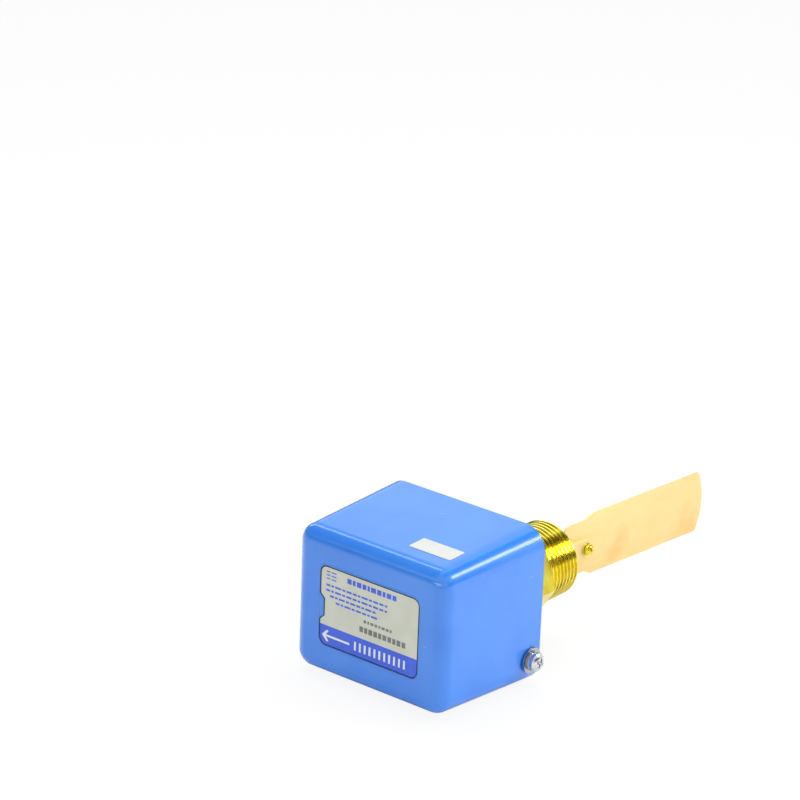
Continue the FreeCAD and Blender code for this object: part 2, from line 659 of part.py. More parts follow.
# ================================================================ cover fasteners
def make_cover_screws():
    screws, springs, flats = [], [], []
    weld_nuts = []
    for side, facing in ((1, "+X"), (-1, "-X")):
        name = "right" if side > 0 else "left"
        z = f"{-side} * cover_screw_z"

        def at(distance):
            return (f"{side} * ({distance}) - cover_offset", "cover_screw_place", z)

        screws.append(spun(f"cover_screw_{name}", screw_profile(
            "cover_screw_diameter", "cover_screw_length", "cover_head_diameter", "cover_head_height"),
            at("head_seat"), facing, marked=False))
        hole = "cover_screw_diameter / 2 + seat_fit"
        springs.append(spun(f"cover_spring_washer_{name}", washer_profile(
            "spring_washer_diameter / 2", hole, "spring_washer_sheet"),
            at("washer_seat + flat_washer_sheet"), facing, marked=False))
        flats.append(spun(f"cover_flat_washer_{name}", washer_profile(
            "flat_washer_diameter / 2", hole, "flat_washer_sheet"), at("washer_seat"), facing, marked=False))
        weld_nuts.append(spun(f"weld_nut_{name}", [
            (hole, "0"),
            ("weld_nut_diameter / 2", "0"),
            ("weld_nut_diameter / 2", "weld_nut_height - weld_nut_step"),
            ("weld_nut_pilot / 2", "weld_nut_height - weld_nut_step"),
            ("weld_nut_pilot / 2", "weld_nut_height"),
            (hole, "weld_nut_height"),
        ], at("pan_half_x - pan_sheet - weld_nut_height"), facing, marked=False))
    group("cover_screws", screws)
    group("cover_spring_washers", springs)
    group("cover_flat_washers", flats)
    group("weld_nuts", weld_nuts)


# ================================================================ pivot bracket, pin and clips
def make_pivot():
    made = body("pivot_bracket")
    ear = "(ear_inside / 2 + pan_sheet)"
    top = "(-pivot_y + bracket_top + ear_width / 2)"
    yoke = sketch(made, "YZ", "pivot_yoke")
    outline(yoke, [
        ("0", f"-{ear}"),
        ("0", ear),
        (f"-{top}", ear),
        (f"-{top}", "ear_inside / 2"),
        ("-pan_sheet", "ear_inside / 2"),
        ("-pan_sheet", "-ear_inside / 2"),
        (f"-{top}", "-ear_inside / 2"),
        (f"-{top}", f"-{ear}"),
    ])
    pad(made, yoke, "lock_nut_across", both=True)
    trim = sketch(made, "XY", "ear_trim")
    wide = "lock_nut_across / 2 + 1"
    for side in (1, -1):
        outline(trim, [
            (f"{side} * ear_width / 2", f"-{top} - 1"),
            (f"{side} * ({wide})", f"-{top} - 1"),
            (f"{side} * ({wide})", "-pan_sheet - 1"),
            (f"{side} * ear_width / 2", "-pan_sheet - 4"),
        ])
    pocket(made, trim, f"4 * {ear}", both=True)
    bore = sketch(made, "XY", "ear_bore")
    ring(bore, "pin_diameter / 2 + seat_fit", ("0", "pivot_y - bracket_top - pan_sheet"))
    pocket(made, bore, f"4 * {ear}", both=True)
    hole = sketch(made, "XZ", "bracket_hole")
    ring(hole, "spigot_diameter / 2 + seat_fit")
    pocket(made, hole, "pan_sheet", backwards=True)
    put(made, ("0", "pan_inside", "0"))
    half_pin = f"{ear} + pin_overhang"
    part(cylinder("pivot_pin", "pin_diameter / 2", f"2 * ({half_pin})", ("0", "pivot_y", f"-({half_pin})")),
         "pivot_pin")
    clips = []
    for name, side, facing in (("right", 1, "+Z"), ("left", -1, "-Z")):
        clips.append(spun(f"pin_clip_{name}", washer_profile(
            "clip_diameter / 2", "pin_diameter / 2 + seat_fit", "clip_sheet"),
            ("0", "pivot_y", f"{side} * {ear}"), facing, marked=False))
    group("pin_clips", clips)


# ================================================================ rocker, lever and bellows
def make_rocker():
    made = body("rocker")
    hub = sketch(made, "XY", "hub_circle")
    ring(hub, "hub_diameter / 2")
    pad(made, hub, "2 * hub_half", both=True)
    arm = sketch(made, "YZ", "arm_outline")
    outline(arm, [
        ("0", "arm_root / 2"),
        ("-arm_length", "arm_tip / 2"),
        ("-arm_length", "-arm_tip / 2"),
        ("0", "-arm_root / 2"),
    ])
    pad(made, arm, "arm_sheet", both=True)
    soften(made, "1.5", lambda edge: edge_at(edge, "Y", "-arm_length") and abs(edge.BoundBox.ZLength) < 1e-6,
           "arm_corners")
    bore = sketch(made, "XY", "hub_bore")
    ring(bore, "pin_diameter / 2 + running_fit")
    pocket(made, bore, "4 * hub_half", both=True)
    socket = sketch(made, "XZ", "rod_socket", "-hub_diameter")
    ring(socket, "rod_diameter / 2 + seat_fit")
    pocket(made, socket, "hub_diameter - pin_diameter / 2 - 0.8", backwards=True)
    lean(made)


def make_lever():
    made = body("lever_rod")
    rod = sketch(made, "XZ", "rod_circle", "-(pin_diameter / 2 + 1)")
    ring(rod, "rod_diameter / 2")
    pad(made, rod, "flat_start - pin_diameter / 2 - 1", backwards=True)
    flat = sketch(made, "YZ", "flat_outline")
    outline(flat, [
        ("flat_start - 3", "rod_diameter / 2 - 0.6"),
        ("flat_start - 3", "-rod_diameter / 2 + 0.6"),
        ("flat_start + 2", "-flat_width / 2"),
        ("lever_reach - flat_width / 2", "-flat_width / 2", "flat_width / 2 * 0.98"),
        ("lever_reach - flat_width / 2", "flat_width / 2"),
        ("flat_start + 2", "flat_width / 2"),
    ])
    pad(made, flat, "flat_sheet", both=True)
    hole = sketch(made, "YZ", "flat_hole")
    ring(hole, "paddle_screw_diameter / 2 + seat_fit", ("blade_screw", "0"))
    pocket(made, hole, "2 * flat_sheet", both=True)
    lean(made)


def make_bellows():
    made = body("bellows")
    fold = sketch(made, "XY", "bellows_fold")
    crest, root, wall, pitch = "bellows_crest / 2", "bellows_root / 2", "bellows_wall", "bellows_pitch"
    start = "bellows_start + bellows_cuff"

    def up(share, extra="0"):
        return f"{start} + {share} * {pitch} + {extra}"

    outline(fold, [
        (root, up(0)),
        (root, up(0.18)),
        (crest, up(0.26)),
        (crest, up(0.74)),
        (root, up(0.82)),
        (root, up(1)),
        (f"{root} - {wall}", up(1)),
        (f"{root} - {wall}", up(0.82, f"-{wall}")),
        (f"{crest} - {wall}", up(0.74, f"-{wall}")),
        (f"{crest} - {wall}", up(0.26, wall)),
        (f"{root} - {wall}", up(0.18, wall)),
        (f"{root} - {wall}", up(0)),
    ])
    first = turned(made, fold)
    doc.recompute()
    row_of = made.newObject("PartDesign::LinearPattern", "bellows_row")
    row_of.Originals = [first]
    row_of.Direction = (fold, ["V_Axis"])
    row_of.Mode = "Spacing"
    bind(row_of, Offset=pitch, Occurrences="bellows_folds")
    made.Tip = row_of
    doc.recompute()
    for name, low in (("low", "bellows_start"), ("high", f"{start} + bellows_folds * {pitch}")):
        cuff = sketch(made, "XY", f"bellows_cuff_{name}")
        outline(cuff, [
            (f"{root} - {wall}", low),
            (root, low),
            (root, f"{low} + bellows_cuff"),
            (f"{root} - {wall}", f"{low} + bellows_cuff"),
        ])
        turned(made, cuff)
    lean(made)
    cap = body("bellows_cap")
    drawn = sketch(cap, "XY", "cap_profile")
    hole = "rod_diameter / 2 + seat_fit"
    outline(drawn, [
        (hole, "cap_start - bellows_cuff / 2"),
        (f"{root} - {wall} - seat_fit", "cap_start - bellows_cuff / 2"),
        (f"{root} - {wall} - seat_fit", "cap_start"),
        (f"{root} + 1", "cap_start"),
        (f"{root} + 1", "cap_start + cap_sheet"),
        (hole, "cap_start + cap_sheet"),
    ])
    turned(cap, drawn)
    lean(cap)


# ================================================================ paddle and what holds it
def make_paddle():
    made = body("paddle")
    drawn = sketch(made, "YZ", "paddle_outline", "-(flat_sheet / 2 + blade_sheet)")
    half, neck = "blade_width / 2", "blade_neck / 2"
    outline(drawn, [
        ("blade_start", f"-({neck} - 3)", "3 * (1 - cos(45))"),
        ("blade_start + 3", f"-{neck}"),
        ("neck_end", f"-{neck}"),
        ("blade_full", f"-{half}"),
        ("blade_corner", f"-{half}", "blade_bulge"),
        ("blade_corner", half),
        ("blade_full", half),
        ("neck_end", neck),
        ("blade_start + 3", neck, "3 * (1 - cos(45))"),
        ("blade_start", f"{neck} - 3"),
    ])
    pad(made, drawn, "blade_sheet")
    hole = sketch(made, "YZ", "paddle_hole", "-(flat_sheet / 2 + blade_sheet)")
    ring(hole, "paddle_screw_diameter / 2 + seat_fit", ("blade_screw", "0"))
    pocket(made, hole, "2 * blade_sheet", both=True)
    soften(made, "1.8", lambda edge: edge.BoundBox.YMin > number("blade_corner") - 0.01
           and edge.BoundBox.XLength > 0.1 * number("blade_sheet"), "tip_corners")
    lean(made)
    back = body("paddle_clamp_plate")
    drawn = sketch(back, "YZ", "clamp_outline", "-(flat_sheet / 2 + blade_sheet + backing_sheet)")
    rounded(drawn, "backing_length / 2", "backing_width / 2", "2", ("blade_screw", "0"))
    ring(drawn, "paddle_screw_diameter / 2 + seat_fit", ("blade_screw", "0"))
    pad(back, drawn, "backing_sheet")
    lean(back)
    nut = body("paddle_nut")
    drawn = sketch(nut, "YZ", "nut_outline", "-(flat_sheet / 2 + blade_sheet + backing_sheet + paddle_nut_height)")
    corners = []
    for step in range(6):
        reach = "paddle_nut_across / 2 / cos(30)"
        corners.append((f"blade_screw + {reach} * cos({60 * step})", f"{reach} * sin({60 * step})"))
    outline(drawn, corners)
    ring(drawn, "paddle_screw_diameter / 2 + seat_fit", ("blade_screw", "0"))
    pad(nut, drawn, "paddle_nut_height")
    lean(nut)
    washer = body("paddle_spring_washer")
    drawn = sketch(washer, "YZ", "paddle_washer_outline", "flat_sheet / 2")
    ring(drawn, "paddle_head_diameter / 2", ("blade_screw", "0"))
    ring(drawn, "paddle_screw_diameter / 2 + seat_fit", ("blade_screw", "0"))
    pad(washer, drawn, "paddle_washer_sheet")
    lean(washer)
    screw = body("paddle_screw")
    seat = "flat_sheet / 2 + paddle_washer_sheet"
    reach = f"{seat} + flat_sheet / 2 + blade_sheet + backing_sheet + paddle_nut_height + 0.8"
    drawn = sketch(screw, "XY", "paddle_screw_profile")
    profile = screw_profile("paddle_screw_diameter", reach, "paddle_head_diameter", "paddle_head_height")
    outline(drawn, [(f"{seat} + {c[1]}", f"blade_screw + {c[0]}", *c[2:]) for c in profile])
    made_round = screw.newObject("PartDesign::Revolution", "paddle_screw_turned")
    made_round.Profile = drawn
    edge = len(profile) - 1
    made_round.ReferenceAxis = (drawn, [f"Edge{edge + 1}"])
    made_round.Angle = 360
    lean(screw)


# ================================================================ snap switch
def make_switch():
    made = body("switch_case")
    half_z, half_y = "switch_length / 2", "switch_sheet / 2"
    drawn = sketch(made, "XY", "case_outline")
    rounded(drawn, "switch_height / 2", half_y, "1", ("-switch_front - switch_height / 2", "0"))
    pad(made, drawn, "switch_length", both=True)
    soften(made, "1", lambda edge: edge_at(edge, "Z", half_z) or edge_at(edge, "Z", f"-{half_z}"),
           "case_ends", "Chamfer", "Size")
    ribs = sketch(made, "XZ", "case_ribs")
    edge, reach = "switch_back", "switch_back - rib_height"
    for middle in ("-terminal_pitch / 2", "terminal_pitch / 2"):
        outline(ribs, [
            (f"{edge} + 0.5", f"{middle} - rib_sheet / 2"),
            (f"{edge} + 0.5", f"{middle} + rib_sheet / 2"),
            (reach, f"{middle} + rib_sheet / 2"),
            (reach, f"{middle} - rib_sheet / 2"),
        ])
    pad(made, ribs, "switch_sheet - 2", both=True)
    bore = sketch(made, "YZ", "plunger_bore", "-switch_front - plunger_depth - 1")
    ring(bore, "plunger_diameter / 2 + running_fit")
    pocket(made, bore, "plunger_depth + 2", backwards=True)
    mounting = sketch(made, "XZ", "case_holes")
    for side in (1, -1):
        ring(mounting, "small_screw_diameter / 2 + seat_fit",
             ("-switch_front - switch_height * 0.72", f"{side} * switch_holes / 2"))
    pocket(made, mounting, "2 * switch_sheet", both=True)
    tapped = sketch(made, "YZ", "terminal_holes", "switch_back")
    for step in (-1, 0, 1):
        ring(tapped, "terminal_screw_diameter / 2 + seat_fit", ("0", f"{step} * terminal_pitch"))
    pocket(made, tapped, "terminal_screw_length - terminal_sheet + 0.5", backwards=True)
    put(made, ("0", "switch_mid", "0"))
    spun("switch_plunger", [
        ("0", "0"),
        ("plunger_diameter / 2", "0"),
        ("plunger_diameter / 2", "plunger_length - 0.8"),
        ("plunger_diameter / 2 - 0.6", "plunger_length"),
        ("0", "plunger_length"),
    ], ("-switch_front - plunger_depth", "switch_mid", "0"), "+X")
    plates, screws = [], []
    for step in (-1, 0, 1):
        plate = doc.addObject("PartDesign::Body", f"terminal_plate_{step + 2}")
        drawn = sketch(plate, "XY", f"terminal_plate_{step + 2}_outline")
        rounded(drawn, "terminal_width / 2", "terminal_depth / 2", "1")
        ring(drawn, "terminal_screw_diameter / 2 + seat_fit")
        pad(plate, drawn, "terminal_sheet")
        plates.append(put(plate, ("switch_back", "switch_mid", f"{step} * terminal_pitch"), "-X"))
        screws.append(spun(f"terminal_screw_{step + 2}", screw_profile(
            "terminal_screw_diameter", "terminal_screw_length", "terminal_head_diameter",
            "terminal_head_height"), ("switch_back - terminal_sheet", "switch_mid",
                                      f"{step} * terminal_pitch"), "-X", marked=False))
    group("terminal_plates", plates)
    group("terminal_screws", screws)


def make_switch_bracket():
    made = body("switch_bracket")
    drawn = sketch(made, "XY", "switch_bracket_section")
    rise = "(pan_inside - shelf_face)"
    outline(drawn, [
        ("-foot_length - pan_sheet", "0"),
        ("0", "0"),
        ("0", f"-{rise}"),
        ("-shelf_length", f"-{rise}"),
        ("-shelf_length", f"-{rise} + pan_sheet"),
        ("-pan_sheet", f"-{rise} + pan_sheet"),
        ("-pan_sheet", "-pan_sheet"),
        ("-foot_length - pan_sheet", "-pan_sheet"),
    ])
    pad(made, drawn, "shelf_width", both=True)
    gap = sketch(made, "XZ", "feet_gap")
    outline(gap, [
        ("-foot_length - pan_sheet - 1", "-(shelf_width / 2 - foot_width)"),
        ("-pan_sheet", "-(shelf_width / 2 - foot_width)"),
        ("-pan_sheet", "shelf_width / 2 - foot_width"),
        ("-foot_length - pan_sheet - 1", "shelf_width / 2 - foot_width"),
    ])
    pocket(made, gap, "pan_sheet + 1", backwards=True)
    window = sketch(made, "YZ", "riser_window")
    rounded(window, f"{rise} / 2 - 5", "shelf_width / 2 - 6", "2", (f"-{rise} / 2", "0"))
    pocket(made, window, "3 * pan_sheet", both=True)
    holes = sketch(made, "XZ", "shelf_holes")
    for side in (1, -1):
        ring(holes, "small_screw_diameter / 2 + seat_fit",
             ("riser_x - switch_front - switch_height * 0.72", f"{side} * switch_holes / 2"))
        ring(holes, "small_screw_diameter / 2 + seat_fit",
             ("-pan_sheet - foot_length / 2", f"{side} * (shelf_width / 2 - foot_width / 2)"))
    pocket(made, holes, f"{rise} + 1", backwards=True)
    put(made, ("-riser_x", "pan_inside", "0"))
    screws = []
    for side in (1, -1):
        screws.append(spun(f"foot_screw_{side + 2}", screw_profile(
            "small_screw_diameter", "foot_screw_length", "small_head_diameter", "small_head_height"),
            ("-riser_x - pan_sheet - foot_length / 2", "bracket_top",
             f"{side} * (shelf_width / 2 - foot_width / 2)"), "-Y", marked=False))
    group("switch_bracket_screws", screws)
    clamps, nuts = [], []
    for side in (1, -1):
        place_x, place_z = "-switch_front - switch_height * 0.72", f"{side} * switch_holes / 2"
        clamps.append(spun(f"switch_screw_{side + 2}", screw_profile(
            "small_screw_diameter", "switch_sheet + pan_sheet + small_head_height", "small_head_diameter",
            "small_head_height"), (place_x, "shelf_face - switch_sheet", place_z), "-Y", marked=False))
        nut = doc.addObject("PartDesign::Body", f"switch_nut_{side + 2}")
        drawn = sketch(nut, "XY", f"switch_nut_{side + 2}_outline")
        hexagon(drawn, "small_head_diameter")
        ring(drawn, "small_screw_diameter / 2 + seat_fit")
        pad(nut, drawn, "small_head_height")
        nuts.append(put(nut, (place_x, "shelf_face + pan_sheet", place_z), "+Y"))
    group("switch_screws", clamps)
    group("switch_nuts", nuts)


# ================================================================ range adjustment
def make_range():
    made = body("range_bracket")
    drawn = sketch(made, "XY", "range_bracket_section")
    rise = "(pan_inside - range_axis + range_top)"
    guide = "(pan_inside - range_axis - range_nut_side / 2 - touch_gap)"
    outline(drawn, [
        ("-range_foot", "0"),
        ("pan_sheet", "0"),
        ("pan_sheet", f"-{rise}"),
        ("0", f"-{rise}"),
        ("0", f"-{guide}"),
        ("range_screw_reach - range_riser_x + 2", f"-{guide}"),
        ("range_screw_reach - range_riser_x + 2", f"-{guide} + guide_sheet"),
        ("0", f"-{guide} + guide_sheet"),
        ("0", "-pan_sheet"),
        ("-range_foot", "-pan_sheet"),
    ])
    pad(made, drawn, "range_width", both=True)
    slim = sketch(made, "XY", "guide_trim", "range_width / 4")
    for name, height, back in (("front", "range_width / 4", False), ("rear", "-range_width / 4", True)):
        trim = slim if name == "front" else sketch(made, "XY", "guide_trim_rear", height)
        outline(trim, [
            ("range_screw_reach - range_riser_x", f"-{guide} - 0.1"),
            ("0", f"-{guide} - 0.1"),
            ("0", f"-{guide} + guide_sheet + 0.1"),
            ("range_screw_reach - range_riser_x", f"-{guide} + guide_sheet + 0.1"),
        ])
        pocket(made, trim, "range_width", backwards=not back)
    bore = sketch(made, "YZ", "range_bore")
    ring(bore, "range_screw_diameter / 2 + running_fit", ("range_axis - pan_inside", "0"))
    pocket(made, bore, "4 * pan_sheet", both=True)
    holes = sketch(made, "XZ", "range_foot_holes")
    for side in (1, -1):
        ring(holes, "small_screw_diameter / 2 + seat_fit", ("-range_foot / 2", f"{side} * range_width / 4"))
    pocket(made, holes, "pan_sheet + 0.5", backwards=True)
    put(made, ("range_riser_x", "pan_inside", "0"))
    screws = []
    for side in (1, -1):
        screws.append(spun(f"range_foot_screw_{side + 2}", screw_profile(
            "small_screw_diameter", "foot_screw_length", "small_head_diameter", "small_head_height"),
            ("range_riser_x - range_foot / 2", "bracket_top", f"{side} * range_width / 4"), "-Y",
            marked=False))
    group("range_bracket_screws", screws)
    screw = spun("range_screw", [
        ("0", "range_screw_reach"),
        ("range_screw_diameter / 2 - 0.5", "range_screw_reach"),
        ("range_screw_diameter / 2", "range_screw_reach + 0.5"),
        ("range_screw_diameter / 2", "range_riser_x + pan_sheet + running_fit"),
        ("range_head_diameter / 2", "range_riser_x + pan_sheet + running_fit"),
        ("range_head_diameter / 2", "range_riser_x + pan_sheet + range_head_height - 0.5"),
        ("range_head_diameter / 2 - 0.5", "range_riser_x + pan_sheet + range_head_height"),
        ("0", "range_riser_x + pan_sheet + range_head_height"),
    ], ("0", "range_axis", "0"), "+X")
    doc.recompute()
    slot = sketch(screw, "XY", "screw_slot", "range_riser_x + pan_sheet + range_head_height")
    rounded(slot, "range_head_diameter", "0.6", "0.3")
    pocket(screw, slot, "1.2")
    nut = body("range_nut")
    drawn = sketch(nut, "XY", "range_nut_outline")
    rounded(drawn, "range_nut_side / 2", "range_nut_side / 2", "1")
    ring(drawn, "range_screw_diameter / 2 + running_fit")
    pad(nut, drawn, "range_nut_height")
    put(nut, ("range_nut_x", "range_axis", "0"), "+X")
    coil = doc.addObject("Part::Helix", "spring_path")
    wire = "spring_wire"
    bind(coil, Radius="spring_diameter / 2", Height=f"spring_length - {wire}",
         Pitch=f"(spring_length - {wire}) / spring_turns")
    section = doc.addObject("Part::RegularPolygon", "spring_section")
    section.Polygon = 8
    bind(section, Circumradius=f"{wire} / 2")
    section.Placement = FreeCAD.Placement(Vector(0, 0, 0), FreeCAD.Rotation(Vector(1, 0, 0), 90))
    section.setExpression("Placement.Base.x", tied("spring_diameter / 2"))
    spring = doc.addObject("Part::Sweep", "spring_sweep")
    spring.Sections = [section]
    spring.Spine = coil
    spring.Solid = True
    spring.Frenet = True
    part(spring, "range_spring")
    put(spring, (f"spring_start + {wire} / 2", "range_axis", "0"), "+X")


# ================================================================ cable entry and earth screw
def make_entry():
    neck = "entry_hole / 2 - seat_fit"
    lip, sheet = "grommet_lip", "pan_sheet"
    spun("cable_grommet", [
        ("grommet_bore / 2", f"-{sheet} - {lip}"),
        ("grommet_flange / 2 - 1", f"-{sheet} - {lip}"),
        ("grommet_flange / 2", f"-{sheet} - {lip} + 1"),
        ("grommet_flange / 2", f"-{sheet}"),
        (neck, f"-{sheet}"),
        (neck, "0"),
        ("grommet_flange / 2", "0"),
        ("grommet_flange / 2", f"{lip} - 1"),
        ("grommet_flange / 2 - 1", lip),
        ("grommet_bore / 2", lip),
    ], ("-entry_x", "pan_face", "0"), "+Y")
    place = ("-ground_x", "pan_inside", "ground_z")
    spun("ground_cup_washer", washer_profile("ground_cup_diameter / 2",
                                             "small_screw_diameter / 2 + seat_fit", "ground_cup_height"),
         place, "-Y")
    spun("ground_screw", screw_profile("small_screw_diameter", "foot_screw_length + ground_cup_height",
                                       "small_head_diameter", "small_head_height"),
         ("-ground_x", "pan_inside - ground_cup_height", "ground_z"), "-Y")


for build in (make_brass_body, make_stack, make_base_pan, make_cover, make_labels, make_cover_screws,
              make_pivot, make_rocker, make_lever, make_bellows, make_paddle, make_switch,
              make_switch_bracket, make_range, make_entry):
    build()
    doc.recompute()
doc.recompute()

# ---------------------------------------------------------------- check, then write
for item in doc.Objects:
    if "Invalid" in item.State or "Error" in item.State:
        raise RuntimeError(f"{item.Label} failed: {item.State}")
for label, item in PARTS.items():
    if item.Shape.isNull() or not item.Shape.isValid() or not item.Shape.Solids:
        raise RuntimeError(f"{label} has no valid shape")

os.makedirs("parts", exist_ok=True)
for label, item in PARTS.items():
    item.Shape.exportStep(f"parts/{label}.step")
    print(f"{label:24s} solids {len(item.Shape.Solids)}  volume {item.Shape.Volume:10.1f}")
print(len(PARTS), "sub-parts")
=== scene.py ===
import bmesh
import bpy
import json
import math
import numpy as np
from mathutils import Matrix, Vector


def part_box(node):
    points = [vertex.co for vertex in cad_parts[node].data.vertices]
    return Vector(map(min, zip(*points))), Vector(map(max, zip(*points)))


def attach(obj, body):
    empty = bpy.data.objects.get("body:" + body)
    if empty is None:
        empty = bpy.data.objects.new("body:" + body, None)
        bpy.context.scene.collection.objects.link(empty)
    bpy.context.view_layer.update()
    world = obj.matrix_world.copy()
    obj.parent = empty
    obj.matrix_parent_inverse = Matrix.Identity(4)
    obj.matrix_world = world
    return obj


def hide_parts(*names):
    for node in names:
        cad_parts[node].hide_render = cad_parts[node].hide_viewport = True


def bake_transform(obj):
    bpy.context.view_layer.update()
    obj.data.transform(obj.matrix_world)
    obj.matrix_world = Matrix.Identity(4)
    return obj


# Paddle flow switch, lying on the long side of its cover. Metres; +Y runs out along the pipe thread.

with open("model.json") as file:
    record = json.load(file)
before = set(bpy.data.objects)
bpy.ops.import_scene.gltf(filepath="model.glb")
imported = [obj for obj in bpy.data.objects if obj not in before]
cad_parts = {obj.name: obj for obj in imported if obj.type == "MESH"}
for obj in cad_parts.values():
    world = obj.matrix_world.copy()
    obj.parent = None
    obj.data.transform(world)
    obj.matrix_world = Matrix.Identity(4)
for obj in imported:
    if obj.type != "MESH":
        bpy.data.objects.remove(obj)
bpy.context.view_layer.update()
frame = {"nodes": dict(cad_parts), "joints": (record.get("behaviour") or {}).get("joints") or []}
nodes = frame["nodes"]
mm = 0.001
print("frame loaded,", len(nodes), "nodes")


# colours and shader nodes
def linear(hexText):
    # sRGB hex to a linear colour with alpha 1
    parts = [int(hexText[i:i + 2], 16) / 255 for i in (0, 2, 4)]
    return [p / 12.92 if p <= 0.04045 else ((p + 0.055) / 1.055) ** 2.4 for p in parts] + [1.0]


def addNode(tree, kind, settings=None, links=None):
    # settings name an input or a property of the node; links name an input and the output to join it to
    node = tree.nodes.new(kind)
    for name, value in (settings or {}).items():
        if isinstance(name, int) or name in node.inputs:
            node.inputs[name].default_value = value
        else:
            setattr(node, name, value)
    for name, source in (links or {}).items():
        tree.links.new(source, node.inputs[name])
    return node


def emptyMaterial(name):
    material = bpy.data.materials.new(name)
    material.use_nodes = True
    material.node_tree.nodes.clear()
    return material, material.node_tree


def newMaterial(name, shaderSettings):
    material, tree = emptyMaterial(name)
    shader = addNode(tree, "ShaderNodeBsdfPrincipled", shaderSettings)
    addNode(tree, "ShaderNodeOutputMaterial", {}, {"Surface": shader.outputs[0]})
    place = addNode(tree, "ShaderNodeTexCoord").outputs["Object"]
    return material, tree, shader, place


# each of the next three lays one effect on a surface, in clouds or grains about size metres across
def cloudColour(tree, shader, place, size, tones, spread=(0.35, 0.65), detail=3.0):
    # base colour wanders between two close tones
    clouds = addNode(tree, "ShaderNodeTexNoise", {"Scale": 1 / size, "Detail": detail}, {"Vector": place})
    ramp = addNode(tree, "ShaderNodeValToRGB", {}, {"Fac": clouds.outputs["Fac"]})
    for stop, position, tone in zip(ramp.color_ramp.elements, spread, tones):
        stop.position = position
        stop.color = linear(tone)
    tree.links.new(ramp.outputs["Color"], shader.inputs["Base Color"])
    return ramp.outputs["Color"]


def cloudRoughness(tree, shader, place, size, low, high):
    # roughness wanders between two values
    clouds = addNode(tree, "ShaderNodeTexNoise", {"Scale": 1 / size, "Detail": 3.0}, {"Vector": place})
    spread = addNode(tree, "ShaderNodeMapRange", {"To Min": low, "To Max": high}, {
        "Value": clouds.outputs["Fac"]})
    tree.links.new(spread.outputs["Result"], shader.inputs["Roughness"])


def fineRelief(tree, shader, place, size, depth, detail=3.0):
    # grain that many metres deep from its lowest to its highest point
    grain = addNode(tree, "ShaderNodeTexNoise", {"Scale": 1 / size, "Detail": detail}, {"Vector": place})
    bump = addNode(tree, "ShaderNodeBump", {"Strength": 1.0, "Distance": depth}, {
        "Height": grain.outputs["Fac"]})
    tree.links.new(bump.outputs["Normal"], shader.inputs["Normal"])
    return bump.outputs["Normal"]


# materials
enamel = {"tones": ("2F80E8", "3687EC"), "cloud": 22 * mm, "rough": (0.20, 0.28), "roughCloud": 4 * mm,
          "peel": 1.8 * mm, "peelDepth": 0.005 * mm, "lip": 0.5 * mm, "lipHeight": 0.22 * mm,
          "windowCorner": 3.5 * mm, "scuff": "B9D6FF", "scuffSize": 4.5 * mm, "scuffSpread": (0.77, 0.83),
          "scuffShare": 0.4}


def windowDistance(tree, place):
    # distance outside the nameplate's rounded rectangle: |max(|p - middle| - half + corner, 0)| - corner
    low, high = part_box("nameplate")
    corner = enamel["windowCorner"]
    half = ((high.x - low.x) / 2 - corner, 1.0, (high.z - low.z) / 2 - corner)
    middle = ((low.x + high.x) / 2, 0, (low.z + high.z) / 2)
    steps = ({"operation": "SUBTRACT", 1: middle}, {"operation": "ABSOLUTE"},
             {"operation": "SUBTRACT", 1: half}, {"operation": "MAXIMUM", 1: (0, 0, 0)})
    for settings in steps:
        place = addNode(tree, "ShaderNodeVectorMath", settings, {0: place}).outputs[0]
    reach = addNode(tree, "ShaderNodeVectorMath", {"operation": "LENGTH"}, {0: place}).outputs["Value"]
    return addNode(tree, "ShaderNodeMath", {"operation": "SUBTRACT", 1: corner}, {0: reach}).outputs[0]


def blueEnamel(look):
    # stoved gloss enamel on deep-drawn steel: saturated blue under a clear hard shine, faint orange peel,
    # a raised lip round the label window and a few pale scuffs
    material, tree, shader, place = newMaterial("blue_gloss_enamel", {
        "Roughness": 0.25, "IOR": 1.5, "Coat Weight": 0.6, "Coat Roughness": 0.06})
    tone = cloudColour(tree, shader, place, look["cloud"], look["tones"])
    stretched = addNode(tree, "ShaderNodeMapping", {"Scale": (0.45, 1, 1)}, {"Vector": place})
    flecks = addNode(tree, "ShaderNodeTexNoise", {"Scale": 1 / look["scuffSize"], "Detail": 1.0}, {
        "Vector": stretched.outputs[0]})
    least, most = look["scuffSpread"]
    scuffs = addNode(tree, "ShaderNodeMapRange", {
        "From Min": least, "From Max": most, "To Max": look["scuffShare"]}, {"Value": flecks.outputs["Fac"]})
    mixed = addNode(tree, "ShaderNodeMix", {"data_type": "RGBA", 7: linear(look["scuff"])}, {
        "Factor": scuffs.outputs["Result"], 6: tone})
    tree.links.new(mixed.outputs[2], shader.inputs["Base Color"])
    cloudRoughness(tree, shader, place, look["roughCloud"], *look["rough"])
    peel = fineRelief(tree, shader, place, look["peel"], look["peelDepth"], 2.0)
    # the lip is highest at its own width outside the window and dies away over as much on both sides
    offset = addNode(tree, "ShaderNodeMath", {"operation": "SUBTRACT", 1: look["lip"]}, {
        0: windowDistance(tree, place)})
    away = addNode(tree, "ShaderNodeMath", {"operation": "ABSOLUTE"}, {0: offset.outputs[0]})
    bead = addNode(tree, "ShaderNodeMapRange", {
        "interpolation_type": "SMOOTHSTEP", "From Min": 0.0, "From Max": look["lip"], "To Min": 1.0,
        "To Max": 0.0}, {"Value": away.outputs[0]})
    lip = addNode(tree, "ShaderNodeBump", {"Strength": 1.0, "Distance": look["lipHeight"]}, {
        "Height": bead.outputs["Result"], "Normal": peel})
    tree.links.new(lip.outputs["Normal"], shader.inputs["Normal"])
    return material


# ring: distance between two tool marks
brass = {"tones": ("D8C23A", "F0E054"), "cloud": 6 * mm, "rough": (0.10, 0.20), "roughCloud": 3 * mm,
         "ring": 0.35 * mm, "ringDepth": 0.003 * mm}
